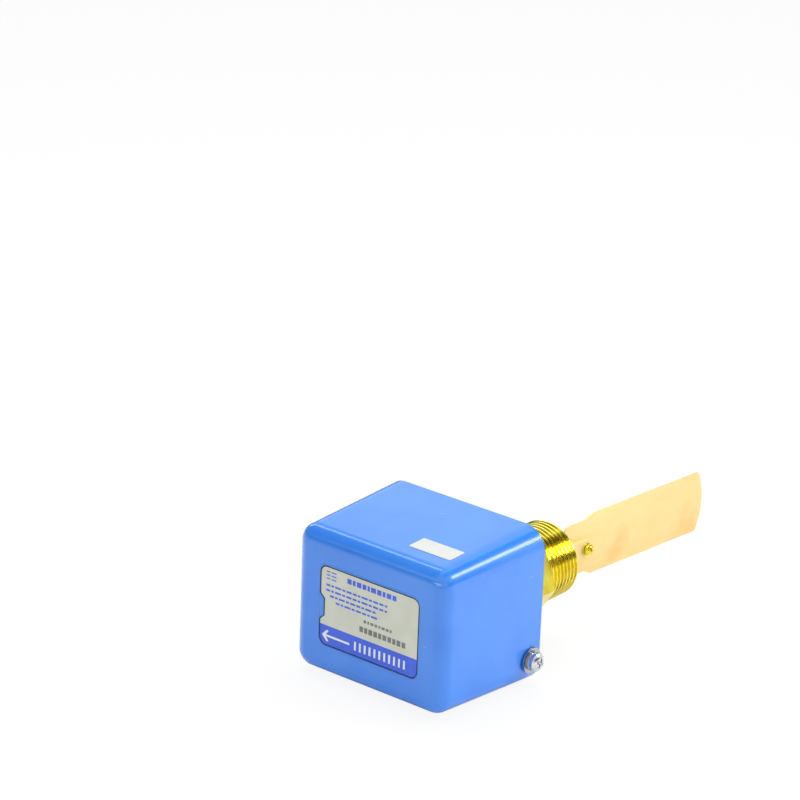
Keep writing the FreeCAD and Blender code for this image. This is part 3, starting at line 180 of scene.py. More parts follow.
# redder and duller than the fittings, with wider marks
bellowsBronze = brass | {"tones": ("C98F4E", "DDA868"), "rough": (0.22, 0.32), "ring": 0.6 * mm}


def turnedMetal(name, look):
    # free-cutting brass or thin bronze worked on a lathe: bright and yellow, with fine tool rings about Y;
    # the rings are drawn about twice as coarse as real ones, so that they show
    material, tree, shader, place = newMaterial(name, {"Metallic": 1.0, "Roughness": 0.2})
    cloudColour(tree, shader, place, look["cloud"], look["tones"], (0.3, 0.7))
    cloudRoughness(tree, shader, place, look["roughCloud"], *look["rough"])
    # bands repeat every pi / 10 / Scale metres
    rings = addNode(tree, "ShaderNodeTexWave", {
        "wave_type": "BANDS", "bands_direction": "Y", "Scale": math.pi / 10 / look["ring"],
        "Distortion": 0.4, "Detail": 1.0}, {"Vector": place})
    bump = addNode(tree, "ShaderNodeBump", {"Strength": 1.0, "Distance": look["ringDepth"]}, {
        "Height": rings.outputs["Fac"]})
    tree.links.new(bump.outputs["Normal"], shader.inputs["Normal"])
    return material


# each orange patch: distance from the paddle's tip, height over its lower edge, size
bronzeSheet = {"tones": ("E5CB86", "EAD294"), "cloud": 9 * mm, "rough": (0.42, 0.58), "grain": 0.5 * mm,
               "grainDepth": 0.004 * mm, "stain": "EDAF66", "orangePatchBreak": 4 * mm,
               "orangePatchSpread": (0.08, 0.60), "orangePatchShare": 0.6,
               "orangePatchSpots": ((53.71 * mm, 11.3 * mm, 9 * mm), (58.26 * mm, 4.3 * mm, 8 * mm),
                          (9 * mm, 2 * mm, 17 * mm))}


def paleBronze(look):
    # rolled phosphor bronze, pickled to a pale matt yellow, with orange patches laid at fixed places
    low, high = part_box("paddle")
    material, tree, shader, place = newMaterial("pale_phosphor_bronze", {"Metallic": 0.25, "Roughness": 0.5})
    rolled = addNode(tree, "ShaderNodeMapping", {"Scale": (1, 0.4, 1)}, {"Vector": place}).outputs[0]
    tone = cloudColour(tree, shader, rolled, look["cloud"], look["tones"])
    stain = None
    for fromTip, up, size in look["orangePatchSpots"]:
        y, z = high.y - fromTip, low.z + up
        centred = addNode(tree, "ShaderNodeMapping", {
            "Location": (0, -y / size, -z / size), "Scale": (0, 1 / size, 1 / size)}, {"Vector": place})
        spot = addNode(tree, "ShaderNodeTexGradient", {"gradient_type": "SPHERICAL"}, {
            "Vector": centred.outputs[0]}).outputs["Fac"]
        if stain is not None:
            spot = addNode(tree, "ShaderNodeMath", {"operation": "ADD"}, {0: stain, 1: spot}).outputs[0]
        stain = spot
    patches = addNode(tree, "ShaderNodeTexNoise", {"Scale": 1 / look["orangePatchBreak"], "Detail": 4.0}, {
        "Vector": place})
    broken = addNode(tree, "ShaderNodeMath", {"operation": "MULTIPLY"}, {
        0: stain, 1: patches.outputs["Fac"]})
    least, most = look["orangePatchSpread"]
    mask = addNode(tree, "ShaderNodeMapRange", {
        "From Min": least, "From Max": most, "To Max": look["orangePatchShare"]}, {"Value": broken.outputs[0]})
    mixed = addNode(tree, "ShaderNodeMix", {"data_type": "RGBA", 7: linear(look["stain"])}, {
        "Factor": mask.outputs["Result"], 6: tone})
    tree.links.new(mixed.outputs[2], shader.inputs["Base Color"])
    cloudRoughness(tree, shader, rolled, look["cloud"], *look["rough"])
    drawn = addNode(tree, "ShaderNodeMapping", {"Scale": (1, 0.2, 1)}, {"Vector": place}).outputs[0]
    fineRelief(tree, shader, drawn, look["grain"], look["grainDepth"])
    return material


def plainFinish(name, look, shaderSettings):
    # colour and sheen wander a little in soft clouds over a fine grain
    material, tree, shader, place = newMaterial(name, shaderSettings)
    cloudColour(tree, shader, place, look["cloud"], look["tones"], look["spread"])
    cloudRoughness(tree, shader, place, look["roughCloud"], *look["rough"])
    fineRelief(tree, shader, place, look["grain"], look["grainDepth"])
    return material


# zinc plate on pressed steel: cool grey with a soft cloudy shine
zinc = {"tones": ("BEC0C5", "D0D2D6"), "spread": (0.3, 0.7), "cloud": 2.2 * mm, "rough": (0.24, 0.38),
        "roughCloud": 1.1 * mm, "grain": 0.6 * mm, "grainDepth": 0.002 * mm}
# darker and smoother, as on ground stainless pins
groundSteel = zinc | {"tones": ("9C9EA3", "B9BBC0"), "cloud": 1.0 * mm, "rough": (0.15, 0.25)}
# paler and brighter, as on new screws
brightZinc = zinc | {"tones": ("BFC1C6", "DCDDE0"), "cloud": 0.8 * mm, "rough": (0.18, 0.28)}
# dyed deep green, as on a ground screw
greenZinc = zinc | {"tones": ("2E7A3C", "3E9450"), "cloud": 1.0 * mm, "rough": (0.25, 0.35)}
metalShader = {"Metallic": 1.0, "Roughness": 0.3}

# moulded in an etched tool: even colour, fine matt grain
phenolic = {"tones": ("17181A", "222427"), "spread": (0.35, 0.65), "cloud": 5 * mm, "rough": (0.36, 0.48),
            "roughCloud": 2 * mm, "grain": 0.4 * mm, "grainDepth": 0.01 * mm}
# dull red-brown
nylon = phenolic | {"tones": ("8A2A1E", "A03A2A"), "rough": (0.34, 0.46)}
# blacker, rougher and coarser
rubber = phenolic | {"tones": ("141416", "1E1E21"), "rough": (0.54, 0.66), "grain": 0.8 * mm,
                     "grainDepth": 0.02 * mm}
plasticShader = {"Roughness": 0.45, "IOR": 1.5}

# satin film: flat even colour with a faint texture; cream here, then white paper, the printed inks and a
# near-black film that is painted shadow
creamFilm = {"tones": ("CACDBD", "D0D3C4"), "spread": (0.35, 0.65), "cloud": 7 * mm, "rough": (0.40, 0.50),
             "roughCloud": 1.5 * mm, "grain": 0.35 * mm, "grainDepth": 0.002 * mm}
whitePaper = creamFilm | {"tones": ("CCCECA", "D3D5D1"), "rough": (0.55, 0.65)}
blueInk = creamFilm | {"tones": ("355BDA", "3E64E2"), "rough": (0.35, 0.45)}
whiteInk = creamFilm | {"tones": ("DDE2EA", "E6EAF0"), "rough": (0.35, 0.45)}
greyInk = creamFilm | {"tones": ("6C7068", "7A7E76"), "rough": (0.45, 0.55)}
# painted shadow: near-black blue standing in for the shade between the plate and the window's edge
shadowInk = creamFilm | {"tones": ("0E2348", "142C58"), "rough": (0.65, 0.75)}
filmShader = {"Roughness": 0.45, "IOR": 1.48}


fibre = {"tones": ("6A2A20", "8C4030"), "cloud": 0.9 * mm, "grain": 0.5 * mm, "grainDepth": 0.02 * mm}


def fibreSheet(look):
    # vulcanised fibre: red-brown, matt, with felted flecks
    material, tree, shader, place = newMaterial("vulcanised_fibre", {"Roughness": 0.75})
    cloudColour(tree, shader, place, look["cloud"], look["tones"], (0.3, 0.7), 6.0)
    fineRelief(tree, shader, place, look["grain"], look["grainDepth"], 5.0)
    return material


wire = {"tones": ("6F737C", "9AA0AA"), "cloud": 1.5 * mm, "grain": 0.3 * mm, "grainDepth": 0.002 * mm}


def drawnWire(look):
    # oil-tempered spring wire: blue-grey and smooth, with faint draw marks
    material, tree, shader, place = newMaterial("oil_tempered_wire", {"Metallic": 1.0, "Roughness": 0.28})
    cloudColour(tree, shader, place, look["cloud"], look["tones"])
    fineRelief(tree, shader, place, look["grain"], look["grainDepth"])
    return material


brassFittings = turnedMetal("turned_brass_fittings", brass)
# each finish and the parts that have it
finishes = [
    (blueEnamel(enamel), ["cover"]),
    (plainFinish("cream_label_film", creamFilm, filmShader), ["nameplate"]),
    (plainFinish("white_paper_sticker", whitePaper, filmShader), ["blank_sticker"]),
    (fibreSheet(fibre), ["body_gasket"]),
    (plainFinish("zinc_plated_sheet", zinc, metalShader), [
        "base_pan", "weld_nuts", "lock_washer", "pivot_bracket", "switch_bracket", "range_bracket",
        "rocker"]),
    (brassFittings, [
        "lock_nut", "bellows_seat_ring", "bellows_cap", "paddle_nut", "terminal_plates",
        "ground_cup_washer"]),
    (paleBronze(bronzeSheet), ["paddle", "paddle_clamp_plate", "lever_rod"]),
    (plainFinish("ground_stainless", groundSteel, metalShader), [
        "pivot_pin", "pin_clips", "range_nut", "range_screw", "switch_nuts", "cover_flat_washers"]),
    (plainFinish("black_phenolic", phenolic, plasticShader), ["switch_case"]),
    (plainFinish("red_brown_nylon", nylon, plasticShader), ["switch_plunger"]),
    (plainFinish("black_rubber", rubber, plasticShader), ["cable_grommet"]),
]
for finish, wearers in finishes:
    for wearer in wearers:
        for holder in nodes[wearer].material_slots:
            holder.material = finish
bodyBrass = turnedMetal("turned_brass", brass)
screwZinc = plainFinish("bright_zinc_screws", brightZinc, metalShader)
screwGreen = plainFinish("green_dyed_zinc", greenZinc, metalShader)
print("materials made")


# meshes from grids of points
def gridFaces(rows, columns, wrapRows, wrapColumns):
    # quads of a grid of points stored row by row
    r = np.arange(rows if wrapRows else rows - 1)[:, None]
    c = np.arange(columns if wrapColumns else columns - 1)[None, :]
    nextR, nextC = (r + 1) % rows, (c + 1) % columns
    corners = [r * columns + c, r * columns + nextC, nextR * columns + nextC, nextR * columns + c]
    return np.stack(np.broadcast_arrays(*corners), axis=-1).reshape(-1, 4)


def outwards(points, faces):
    # turns the quads over where the volume under them, each cut in two triangles, is negative
    a, b, c, d = (points[faces[:, i]] for i in range(4))
    volume = (np.cross(a, b) * c).sum() + (np.cross(a, c) * d).sum()
    return faces[:, ::-1] if volume < 0 else faces


def newMesh(name, points, faces):
    mesh = bpy.data.meshes.new(name)
    mesh.from_pydata(points.tolist(), [], faces.tolist())
    return mesh


def addObject(name, mesh, material):
    mesh.materials.append(material)
    holder = bpy.data.objects.new(name, mesh)
    bpy.context.scene.collection.objects.link(holder)
    return holder


def closeSeams(mesh):
    # points that fall together, as at a pole, become one
    work = bmesh.new()
    work.from_mesh(mesh)
    bmesh.ops.remove_doubles(work, verts=work.verts, dist=1e-7)
    bmesh.ops.dissolve_degenerate(work, edges=work.edges, dist=1e-8)
    work.to_mesh(mesh)
    work.free()


def makePiece(name, grids, material, body=None, sharpAngle=32, replaces=()):
    # joins grids of points, each (points, wrapRows, wrapColumns), into one mesh with its faces outwards
    allPoints, allFaces, count = [], [], 0
    for grid, wrapRows, wrapColumns in grids:
        flat = grid.reshape(-1, 3)
        allPoints.append(flat)
        allFaces.append(outwards(flat, gridFaces(*grid.shape[:2], wrapRows, wrapColumns)) + count)
        count += len(flat)
    mesh = newMesh(name, np.concatenate(allPoints), np.concatenate(allFaces))
    mesh.validate()
    closeSeams(mesh)
    mesh.shade_smooth()
    mesh.set_sharp_from_angle(angle=math.radians(sharpAngle))
    piece = addObject(name, mesh, material)
    if body:
        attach(piece, body)
    if replaces:
        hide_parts(*replaces)
    return piece


def turnedGrid(radii, heights, angles):
    # a surface of revolution about Y: (r sin a, y, r cos a)
    r, y, a = np.broadcast_arrays(radii, heights, angles[None, :])
    return np.stack([r * np.sin(a), y, r * np.cos(a)], axis=-1)


def roundRows(profile, columns):
    # a profile of (radius, height) as two arrays with a row for each of its points
    return np.array(profile).T[:, :, None] * np.ones(columns)


def placed(points, origin, axis, up=(0, 0, 1)):
    # stands a surface that was drawn about +Y on another axis through a given point
    y = Vector(axis).normalized()
    x = y.cross(Vector(up)).normalized()
    turn = np.array(Matrix((x, y, x.cross(y))).transposed())
    return points @ turn.T + np.array(origin)


# brass body: hexagon and pipe thread, with the shoulder between them at y = 0
bodyLook = {"pitch": 2.309 * mm, "depth": 1.20 * mm, "taper": 1 / 64, "crest": 16.5 * mm, "runout": 2.2 * mm,
            "leadIn": 0.5 * mm, "threadLength": 20 * mm, "rowsPerPitch": 14, "threadColumns": 241,
            "acrossFlats": 36 * mm, "chamfer": math.radians(30), "turn": math.radians(6),
            "hexLength": 16.8 * mm, "hexColumns": 360, "collar": 17 * mm, "collarLength": 5 * mm,
            "spigot": 9 * mm, "bore": 12.7 * mm, "boreFloor": -13 * mm, "mouth": 3 * mm, "neck": 5.5 * mm,
            "edge": 0.4 * mm}


def threadRadius(y, angle, look):
    # least of crest - depth * fade * clip(1/2 - 3/4 cos(2 pi phase), 0, 1) and the cone of the lead-in;
    # phase = y / pitch - angle / 2 pi, the crest tapers along y and the fade ends the groove at the shoulder
    phase = y / look["pitch"] - angle / (2 * np.pi)
    wave = np.clip(0.5 - 0.75 * np.cos(2 * np.pi * phase), 0, 1)
    crest = look["crest"] - (y - look["threadLength"] / 2) * look["taper"]
    fade = np.clip(y / look["runout"] - 0.25, 0, 1)
    leadIn = look["crest"] - look["leadIn"] + look["threadLength"] - y
    return np.minimum(crest - look["depth"] * wave * fade, leadIn)


def pipeThread(look):
    # y = pitch (row / rows per pitch + angle / 2 pi), kept between the ends: the rows climb a pitch a turn,
    # so that crests and roots lie along them; then the chamfered mouth and the bore
    length, perPitch = look["threadLength"], look["rowsPerPitch"]
    angles = np.linspace(0, 2 * np.pi, look["threadColumns"])
    climb = np.arange(-perPitch, int(length / look["pitch"] * perPitch) + 2)[:, None] / perPitch
    y = np.clip((climb + angles / (2 * np.pi)) * look["pitch"], 0, length)
    boreRadii, boreHeights = roundRows([
        (look["bore"] + look["edge"], length), (look["bore"], length - look["edge"]),
        (look["bore"], length - look["mouth"]), (look["bore"], 0)], len(angles))
    radii = np.concatenate([threadRadius(y, angles[None, :], look), boreRadii])
    return turnedGrid(radii, np.concatenate([y, boreHeights]), angles)


def hexagonBody(look):
    # least of half / cos(angle from the middle of a flat) and the chamfer cone, which grows from half to
    # corner over the drop at each end; the turned steps of the bore come before it, collar and spigot after
    angles = np.linspace(0, 2 * np.pi, look["hexColumns"], endpoint=False)
    half = look["acrossFlats"] / 2
    corner = half / math.cos(math.pi / 6)
    drop = (corner - half) * math.tan(look["chamfer"])
    # angles run from +Z to +X; a corner lies at the turn below +X
    fromCorner = angles - np.pi / 2 - look["turn"]
    flat = half / np.cos(fromCorner % (np.pi / 3) - np.pi / 6)
    slope = np.linspace(0, 1, 12)[:, None]
    front = np.minimum(flat[None, :], half + (corner - half) * slope)
    frontHeights = -drop * slope * np.ones(len(angles))
    collarEnd = -look["hexLength"] - look["collarLength"]
    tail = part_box("brass_body")[0].y
    inside = roundRows([
        (look["neck"], look["boreFloor"]), (look["bore"], look["boreFloor"]), (look["bore"], 0),
        (look["crest"] - look["depth"], 0)], len(angles))
    behind = roundRows([
        (look["collar"], -look["hexLength"]), (look["collar"], collarEnd + look["edge"]),
        (look["collar"] - look["edge"], collarEnd), (look["spigot"], collarEnd), (look["spigot"], tail),
        (look["neck"], tail)], len(angles))
    radii = np.concatenate([inside[0], front, front[::-1], behind[0]])
    heights = np.concatenate([inside[1], frontHeights, -look["hexLength"] - frontHeights[::-1], behind[1]])
    return turnedGrid(radii, heights, angles)


makePiece("brassHexagon", [(hexagonBody(bodyLook), True, True)], bodyBrass, "housing", 25,
          ["brass_body"])
makePiece("pipeThread", [(pipeThread(bodyLook), True, False)], bodyBrass, "housing", 50)
print("brass body made")

# screws and washers; recesses and heads in shares of the head's radius and height, points of the shank's
# radius, and the columns and rows of points on a head
recesses = {
    "cross": {"width": 0.1456, "wall": 0.05096, "arm": 0.56, "end": 0.252, "depth": 0.62, "arms": 2},
    "straight": {"width": 0.22, "wall": 0.044, "arm": 2.0, "end": 0.1, "depth": 0.5, "arms": 1},
}
headLook = {"columns": 96, "rows": 34, "sag": 0.5, "sagPower": 3.2, "rim": 0.9, "pointRadius": 0.7,
            "pointLength": 0.3}


def slotDepth(x, z, look):
    # clip((width - |x|) / wall, 0, 1) * clip((arm - |z|) / end, 0, 1)
    across = np.clip((look["width"] - np.abs(x)) / look["wall"], 0, 1)
    return across * np.clip((look["arm"] - np.abs(z)) / look["end"], 0, 1)


def screwGrid(top, axis, screw, spin):
    # pan head: height * (1 - sag * share ^ power - recess) over the radius; then its side, shank and point
    look, recess = headLook, recesses[screw["recess"]]
    angles = np.linspace(0, 2 * np.pi, look["columns"], endpoint=False)
    share = np.linspace(0, 1, look["rows"])[:, None] * np.ones(look["columns"])
    x, z = share * np.cos(angles + spin), share * np.sin(angles + spin)
    sunk = slotDepth(x, z, recess)
    if recess["arms"] == 2:
        sunk = np.maximum(sunk, slotDepth(z, x, recess))
    face = screw["height"] * (1 - look["sag"] * share ** look["sagPower"] - recess["depth"] * sunk)
    head, shank, length = screw["head"], screw["shank"], screw["length"]
    underRadii, underHeights = roundRows([
        (head, 0), (shank, 0), (shank, look["pointLength"] * shank - length),
        (look["pointRadius"] * shank, -length), (0, -length)], look["columns"])
    radii = np.concatenate([share * head, share[-1:] * head, underRadii])
    heights = np.concatenate([face, face[-1:] * look["rim"], underHeights]) - screw["height"]
    return placed(turnedGrid(radii, heights, angles), top, axis), False, True


def splitWasher(origin, axis, look):
    # a square section with small corners, carried round to angle a and lifted by
    # rise * sheet * (a / 2 pi - 1/2), like one coil of a spring that stops short of a full turn by the gap
    inner, outer, sheet, gap = look["inner"], look["outer"], look["sheet"], look["gap"]
    along = np.linspace(gap / 2, 2 * np.pi - gap / 2, 72)[:, None]
    corner = 0.12 * (outer - inner)
    u = np.array([inner + corner, outer - corner, outer, outer, outer - corner, inner + corner, inner,
                  inner])
    v = np.array([0, 0, corner, sheet - corner, sheet, sheet, sheet - corner, corner])
    lift = look["rise"] * sheet * (along / (2 * np.pi) - 0.5)
    r, y = np.broadcast_arrays(u[None, :], v[None, :] + lift)
    ring = np.stack([r * np.sin(along), y, r * np.cos(along)], axis=-1)
    return placed(capped(ring), origin, axis), False, True


def capped(rows):
    # a tube of points closed at both ends by rows that lie in the middle of its first and last row
    first, last = (np.broadcast_to(row.mean(axis=1, keepdims=True), row.shape)
                   for row in (rows[:1], rows[-1:]))
    return np.concatenate([first, rows, last])


def nodeMiddles(name, radius, count):
    # middles along Z of equal pieces that share one node, spread evenly between its ends
    low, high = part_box(name)
    if count == 1:
        return [(low.z + high.z) / 2]
    return list(np.linspace(low.z + radius, high.z - radius, count))


coverScrew = {"head": 4.0 * mm, "height": 3.1 * mm, "shank": 2.0 * mm, "length": 11 * mm, "recess": "cross",
              "spin": 0.5}
coverWasher = {"inner": 2.1 * mm, "outer": 3.8 * mm, "sheet": 0.88 * mm, "gap": 0.3, "rise": 0.3,
               "belowTop": 4.178 * mm}
low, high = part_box("cover_screws")
coverY = (low.y + high.y) / 2
screwGrids, washerGrids = [], []
# one screw on each end of the cover, at opposite corners
screwPlaces = ((1, high.x, low.z + coverScrew["head"]), (-1, low.x, high.z - coverScrew["head"]))
for side, topX, middleZ in screwPlaces:
    axis = (side, 0, 0)
    seatX = topX - side * coverWasher["belowTop"]
    screwGrids.append(screwGrid((topX, coverY, middleZ), axis, coverScrew, coverScrew["spin"]))
    washerGrids.append(splitWasher((seatX, coverY, middleZ), axis, coverWasher))
makePiece("coverScrewHeads", screwGrids, screwZinc, "housing", 30, ["cover_screws"])
makePiece("coverSplitWashers", washerGrids, screwZinc, "housing", 40,
          ["cover_spring_washers"])

panHead = {"head": 2.8 * mm, "height": 2.2 * mm, "shank": 1.5 * mm, "recess": "cross", "axis": (0, -1, 0),
           "count": 2, "finish": screwZinc, "slot": "zinc_screws"}
smallScrews = {
    "switch_bracket_screws": ("bracketScrewHeads", panHead),
    "range_bracket_screws": ("rangeScrewHeads", panHead),
    "switch_screws": ("switchScrewHeads", panHead),
    "terminal_screws": ("terminalScrewHeads", panHead | {
        "head": 3.2 * mm, "height": 2.4 * mm, "shank": 1.75 * mm, "recess": "straight", "axis": (-1, 0, 0),
        "count": 3}),
    "ground_screw": ("groundScrewHead", panHead | {
        "count": 1, "finish": screwGreen, "slot": "ground_green"}),
}
for node, (name, look) in smallScrews.items():
    low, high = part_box(node)
    middle = (low + high) / 2
    upright = look["axis"][1] != 0
    reach = high.y - low.y if upright else high.x - low.x
    screw = look | {"length": reach - look["height"]}
    grids = []
    for z in nodeMiddles(node, look["head"], look["count"]):
        top = (middle.x, low.y, z) if upright else (low.x, middle.y, z)
        # each screw was left at an angle of its own, which here follows from its place
        grids.append(screwGrid(top, look["axis"], screw, 0.4 + 300 * z))
    makePiece(name, grids, look["finish"], "housing", 30, [node])

# the lever leans from +Y towards +X at rest
restLean = math.radians(3.8)
leverAxis = Vector((math.sin(restLean), math.cos(restLean), 0))
leverSide = Vector((math.cos(restLean), -math.sin(restLean), 0))
pivot = Vector(frame["joints"][0]["pos_m"])
paddleScrew = {"along": 75.9 * mm, "seat": 2.3 * mm, "head": 2.4 * mm, "height": 2.0 * mm, "shank": 1.5 * mm,
               "length": 8.0 * mm, "recess": "straight", "spin": 1.0}
paddleWasher = {"inner": 1.55 * mm, "outer": 2.7 * mm, "sheet": 0.6 * mm, "gap": 0.22, "rise": 0.35,
                "seat": 1.5 * mm}
screwFoot = pivot + leverAxis * paddleScrew["along"]
screwTop = screwFoot + leverSide * (paddleScrew["seat"] + paddleScrew["height"])
makePiece("paddleScrewHead", [screwGrid(screwTop, leverSide, paddleScrew, paddleScrew["spin"])],
          brassFittings, "lever", 30, ["paddle_screw"])
washerSeat = screwFoot + leverSide * paddleWasher["seat"]
makePiece("paddleSplitWasher", [splitWasher(washerSeat, leverSide, paddleWasher)], brassFittings,
          "lever", 40, ["paddle_spring_washer"])
print("screws made")

# bellows: a wave carried round the lever
bellowsLook = {"crest": 8.2775 * mm, "root": 6.0225 * mm, "folds": 5, "start": 26.37 * mm,
               "length": 20.5 * mm, "cuff": 2.0 * mm, "wall": 0.4 * mm, "columns": 120, "rows": 181}


def bellowsGrid(look):
    # radius = root + (crest - root) * (1/2 - 1/2 cos(2 pi folds * share)); the share of the way between the
    # cuffs is kept from 0 to 1, so that the cuffs stay at the root; outside wall, then inside wall
    angles = np.linspace(0, 2 * np.pi, look["columns"], endpoint=False)
    along = np.linspace(0, look["length"], look["rows"])
    share = np.clip((along - look["cuff"]) / (look["length"] - 2 * look["cuff"]), 0, 1)
    swing = 0.5 - 0.5 * np.cos(2 * np.pi * look["folds"] * share)
    outer = look["root"] + (look["crest"] - look["root"]) * swing
    radii = np.concatenate([outer, outer[::-1] - look["wall"]])[:, None]
    heights = look["start"] + np.concatenate([along, along[::-1]])[:, None]
    return placed(turnedGrid(radii, heights, angles), pivot, leverAxis), True, True


bronzeBellows = turnedMetal("drawn_bronze_bellows", bellowsBronze)
bellows = makePiece("bellowsFolds", [bellowsGrid(bellowsLook)], bronzeBellows, None, 60,
                    ["bellows"])
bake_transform(bellows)

# range spring: a round wire wound about X
springLook = {"radius": 3.7 * mm, "wire": 0.45 * mm, "turns": 6.5, "startInset": 0.9 * mm,
              "endInset": 0.85 * mm, "closing": 0.022, "rows": 170, "columns": 14}


def springGrid(look, first, last):
    # r = radius + wire cos b and x = start + (end - start) (t + closing sin 2 pi t) + wire sin b, turned by
    # 2 pi turns t about the middle of the spring, for t between two shares of the length
    low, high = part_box("range_spring")
    middle = (low + high) / 2
    start, end = low.x + look["startInset"], high.x - look["endInset"]
    t = np.linspace(first, last, look["rows"])[:, None]
    turn = 2 * np.pi * look["turns"] * t
    around = np.linspace(0, 2 * np.pi, look["columns"], endpoint=False)[None, :]
    r = look["radius"] + look["wire"] * np.cos(around)
    x = start + (end - start) * (t + look["closing"] * np.sin(2 * np.pi * t)) + look["wire"] * np.sin(around)
    y, z = middle.y + r * np.cos(turn), middle.z + r * np.sin(turn)
    return capped(np.stack(np.broadcast_arrays(x, y, z), axis=-1)), False, True


# the spring in two halves that meet at its middle; the lever presses one half, the nut the other
springWire = drawnWire(wire)
low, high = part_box("range_spring")
leverEnd, springMiddle, nutEnd = ((x, low.y, 0) for x in (low.x, (low.x + high.x) / 2, high.x))
springHalves = (("rangeSpringLeverHalf", 0.0, 0.5, "lever", "housing", leverEnd, springMiddle),
                ("rangeSpringNutHalf", 0.5, 1.0, "housing", "spring_seat", springMiddle, nutEnd))
for name, first, last, fromBody, toBody, fromPoint, toPoint in springHalves:
    half = makePiece(name, [springGrid(springLook, first, last)], springWire, None, 60,
                     ["range_spring"])
    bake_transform(half)
print("bellows and spring made")

# print on the nameplate: a plain blue band with an arrow and ruled lines; round the plate's edge a dark ring
# of painted shadow
plateLow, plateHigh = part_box("nameplate")
left, bottom, top = plateLow.x, plateLow.z, plateHigh.z
# gap and shadowRingDepth: width and thickness of the dark ring of painted shadow
printLook = {"layer": 0.02 * mm, "sheet": 0.015 * mm, "bandTop": bottom + 8.7 * mm, "bandInset": 0.05 * mm,
             "gap": 0.42 * mm, "shadowRingDepth": 0.04 * mm, "between": 0.6 * mm}


def plateOutline(inset):
    # the plate's front corners in order round its middle, moved inwards along the mean of both edges
    mesh = nodes["nameplate"].data
    points = np.empty(len(mesh.vertices) * 3)
    mesh.vertices.foreach_get("co", points)
    world = np.array(nodes["nameplate"].matrix_world)
    points = points.reshape(-1, 3) @ world[:3, :3].T + world[:3, 3]
    front = points[points[:, 1] < points[:, 1].min() + 0.01 * mm][:, [0, 2]]
    front = np.unique(np.round(front, 7), axis=0)
    middle = (front.min(axis=0) + front.max(axis=0)) / 2
    front = front[np.argsort(np.arctan2(front[:, 1] - middle[1], front[:, 0] - middle[0]))]
    along = np.roll(front, -1, axis=0) - np.roll(front, 1, axis=0)
    along /= np.linalg.norm(along, axis=1)[:, None]
    return front + inset * np.stack([-along[:, 1], along[:, 0]], axis=1)


def inkPiece(name, outline, material, level):
    # a closed outline in X and Z, raised off the face of the plate by a number of ink layers
    y = plateLow.y - printLook["layer"] * level
    work = bmesh.new()
    face = work.faces.new([work.verts.new((x, y, z)) for x, z in outline])
    made = bmesh.ops.extrude_face_region(work, geom=[face])
    moved = [item for item in made["geom"] if isinstance(item, bmesh.types.BMVert)]
    bmesh.ops.translate(work, verts=moved, vec=(0, printLook["sheet"], 0))
    bmesh.ops.recalc_face_normals(work, faces=work.faces)
    mesh = bpy.data.meshes.new(name)
    work.to_mesh(mesh)
    work.free()
    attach(addObject(name, mesh, material), "cover_shell")


def inkMarks(name, bars, material, level):
    # many bars in one mesh; each of them is left, right, lower, upper and becomes eight corners
    x0, x1, z0, z1 = np.asarray(bars, dtype=float).T
    y = plateLow.y - printLook["layer"] * level
    front = np.stack([np.stack([x, np.full_like(x, y), z], axis=-1) for x, z in (
        (x0, z0), (x1, z0), (x1, z1), (x0, z1))], axis=1)
    back = front + np.array([0, printLook["sheet"], 0])
    points = np.concatenate([front, back], axis=1).reshape(-1, 3)
    sides = np.array([[0, 1, 2, 3], [7, 6, 5, 4], [4, 5, 1, 0], [5, 6, 2, 1], [6, 7, 3, 2], [7, 4, 0, 3]])
    faces = (sides[None] + 8 * np.arange(len(bars))[:, None, None]).reshape(-1, 4)
    mesh = newMesh(name, points, outwards(points, faces))
    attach(addObject(name, mesh, material), "cover_shell")


bandBlue = plainFinish("blue_screen_print", blueInk, filmShader)
printWhite = plainFinish("white_screen_print", whiteInk, filmShader)
printGrey = plainFinish("grey_screen_print", greyInk, filmShader)
# painted shadow: the near-black finish of the ring round the plate
gapShadow = plainFinish("painted_window_shadow", shadowInk, filmShader)


def bandOutline(look):
    # the plate's outline below the top of the band, in order from one end of that top to the other
    inner = plateOutline(look["bandInset"])
    lower = inner[inner[:, 1] < look["bandTop"]]
    across, over = (plateLow.x + plateHigh.x) / 2, look["bandTop"] + 30 * mm
    lower = lower[np.argsort(np.arctan2(lower[:, 1] - over, lower[:, 0] - across))]
    return [(lower[0, 0], look["bandTop"])] + [tuple(p) for p in lower] + [(lower[-1, 0], look["bandTop"])]


inkPiece("labelBand", bandOutline(printLook), bandBlue, 1)

arrow = {"tip": left + 1.5 * mm, "middle": bottom + 4.3 * mm, "length": 14.5 * mm, "half": 0.45 * mm,
         "head": 2.5 * mm, "barb": 1.0 * mm}


def arrowOutline(look):
    # one line shaft with two swept barbs, pointing to -X
    t, m, h, s, b = look["tip"], look["middle"], look["head"], look["half"], look["barb"]
    return [(t, m), (t + h, m - h), (t + h + b, m - h + 0.25 * b), (t + 1.6 * b + s, m - s),
            (t + look["length"], m - s), (t + look["length"], m + s), (t + 1.6 * b + s, m + s),
            (t + h + b, m + h - 0.25 * b), (t + h, m + h)]


inkPiece("labelArrow", arrowOutline(arrow), printWhite, 2)

ticks = {"first": left + 18.5 * mm, "step": 2.55 * mm, "count": 11, "width": 1.0 * mm,
         "middle": bottom + 4.4 * mm, "half": 1.9 * mm}
tickLeft = ticks["first"] + ticks["step"] * np.arange(ticks["count"])
tickBars = [(x, x + ticks["width"], ticks["middle"] - ticks["half"], ticks["middle"] + ticks["half"])
            for x in tickLeft]
inkMarks("labelTicks", tickBars, printWhite, 2)


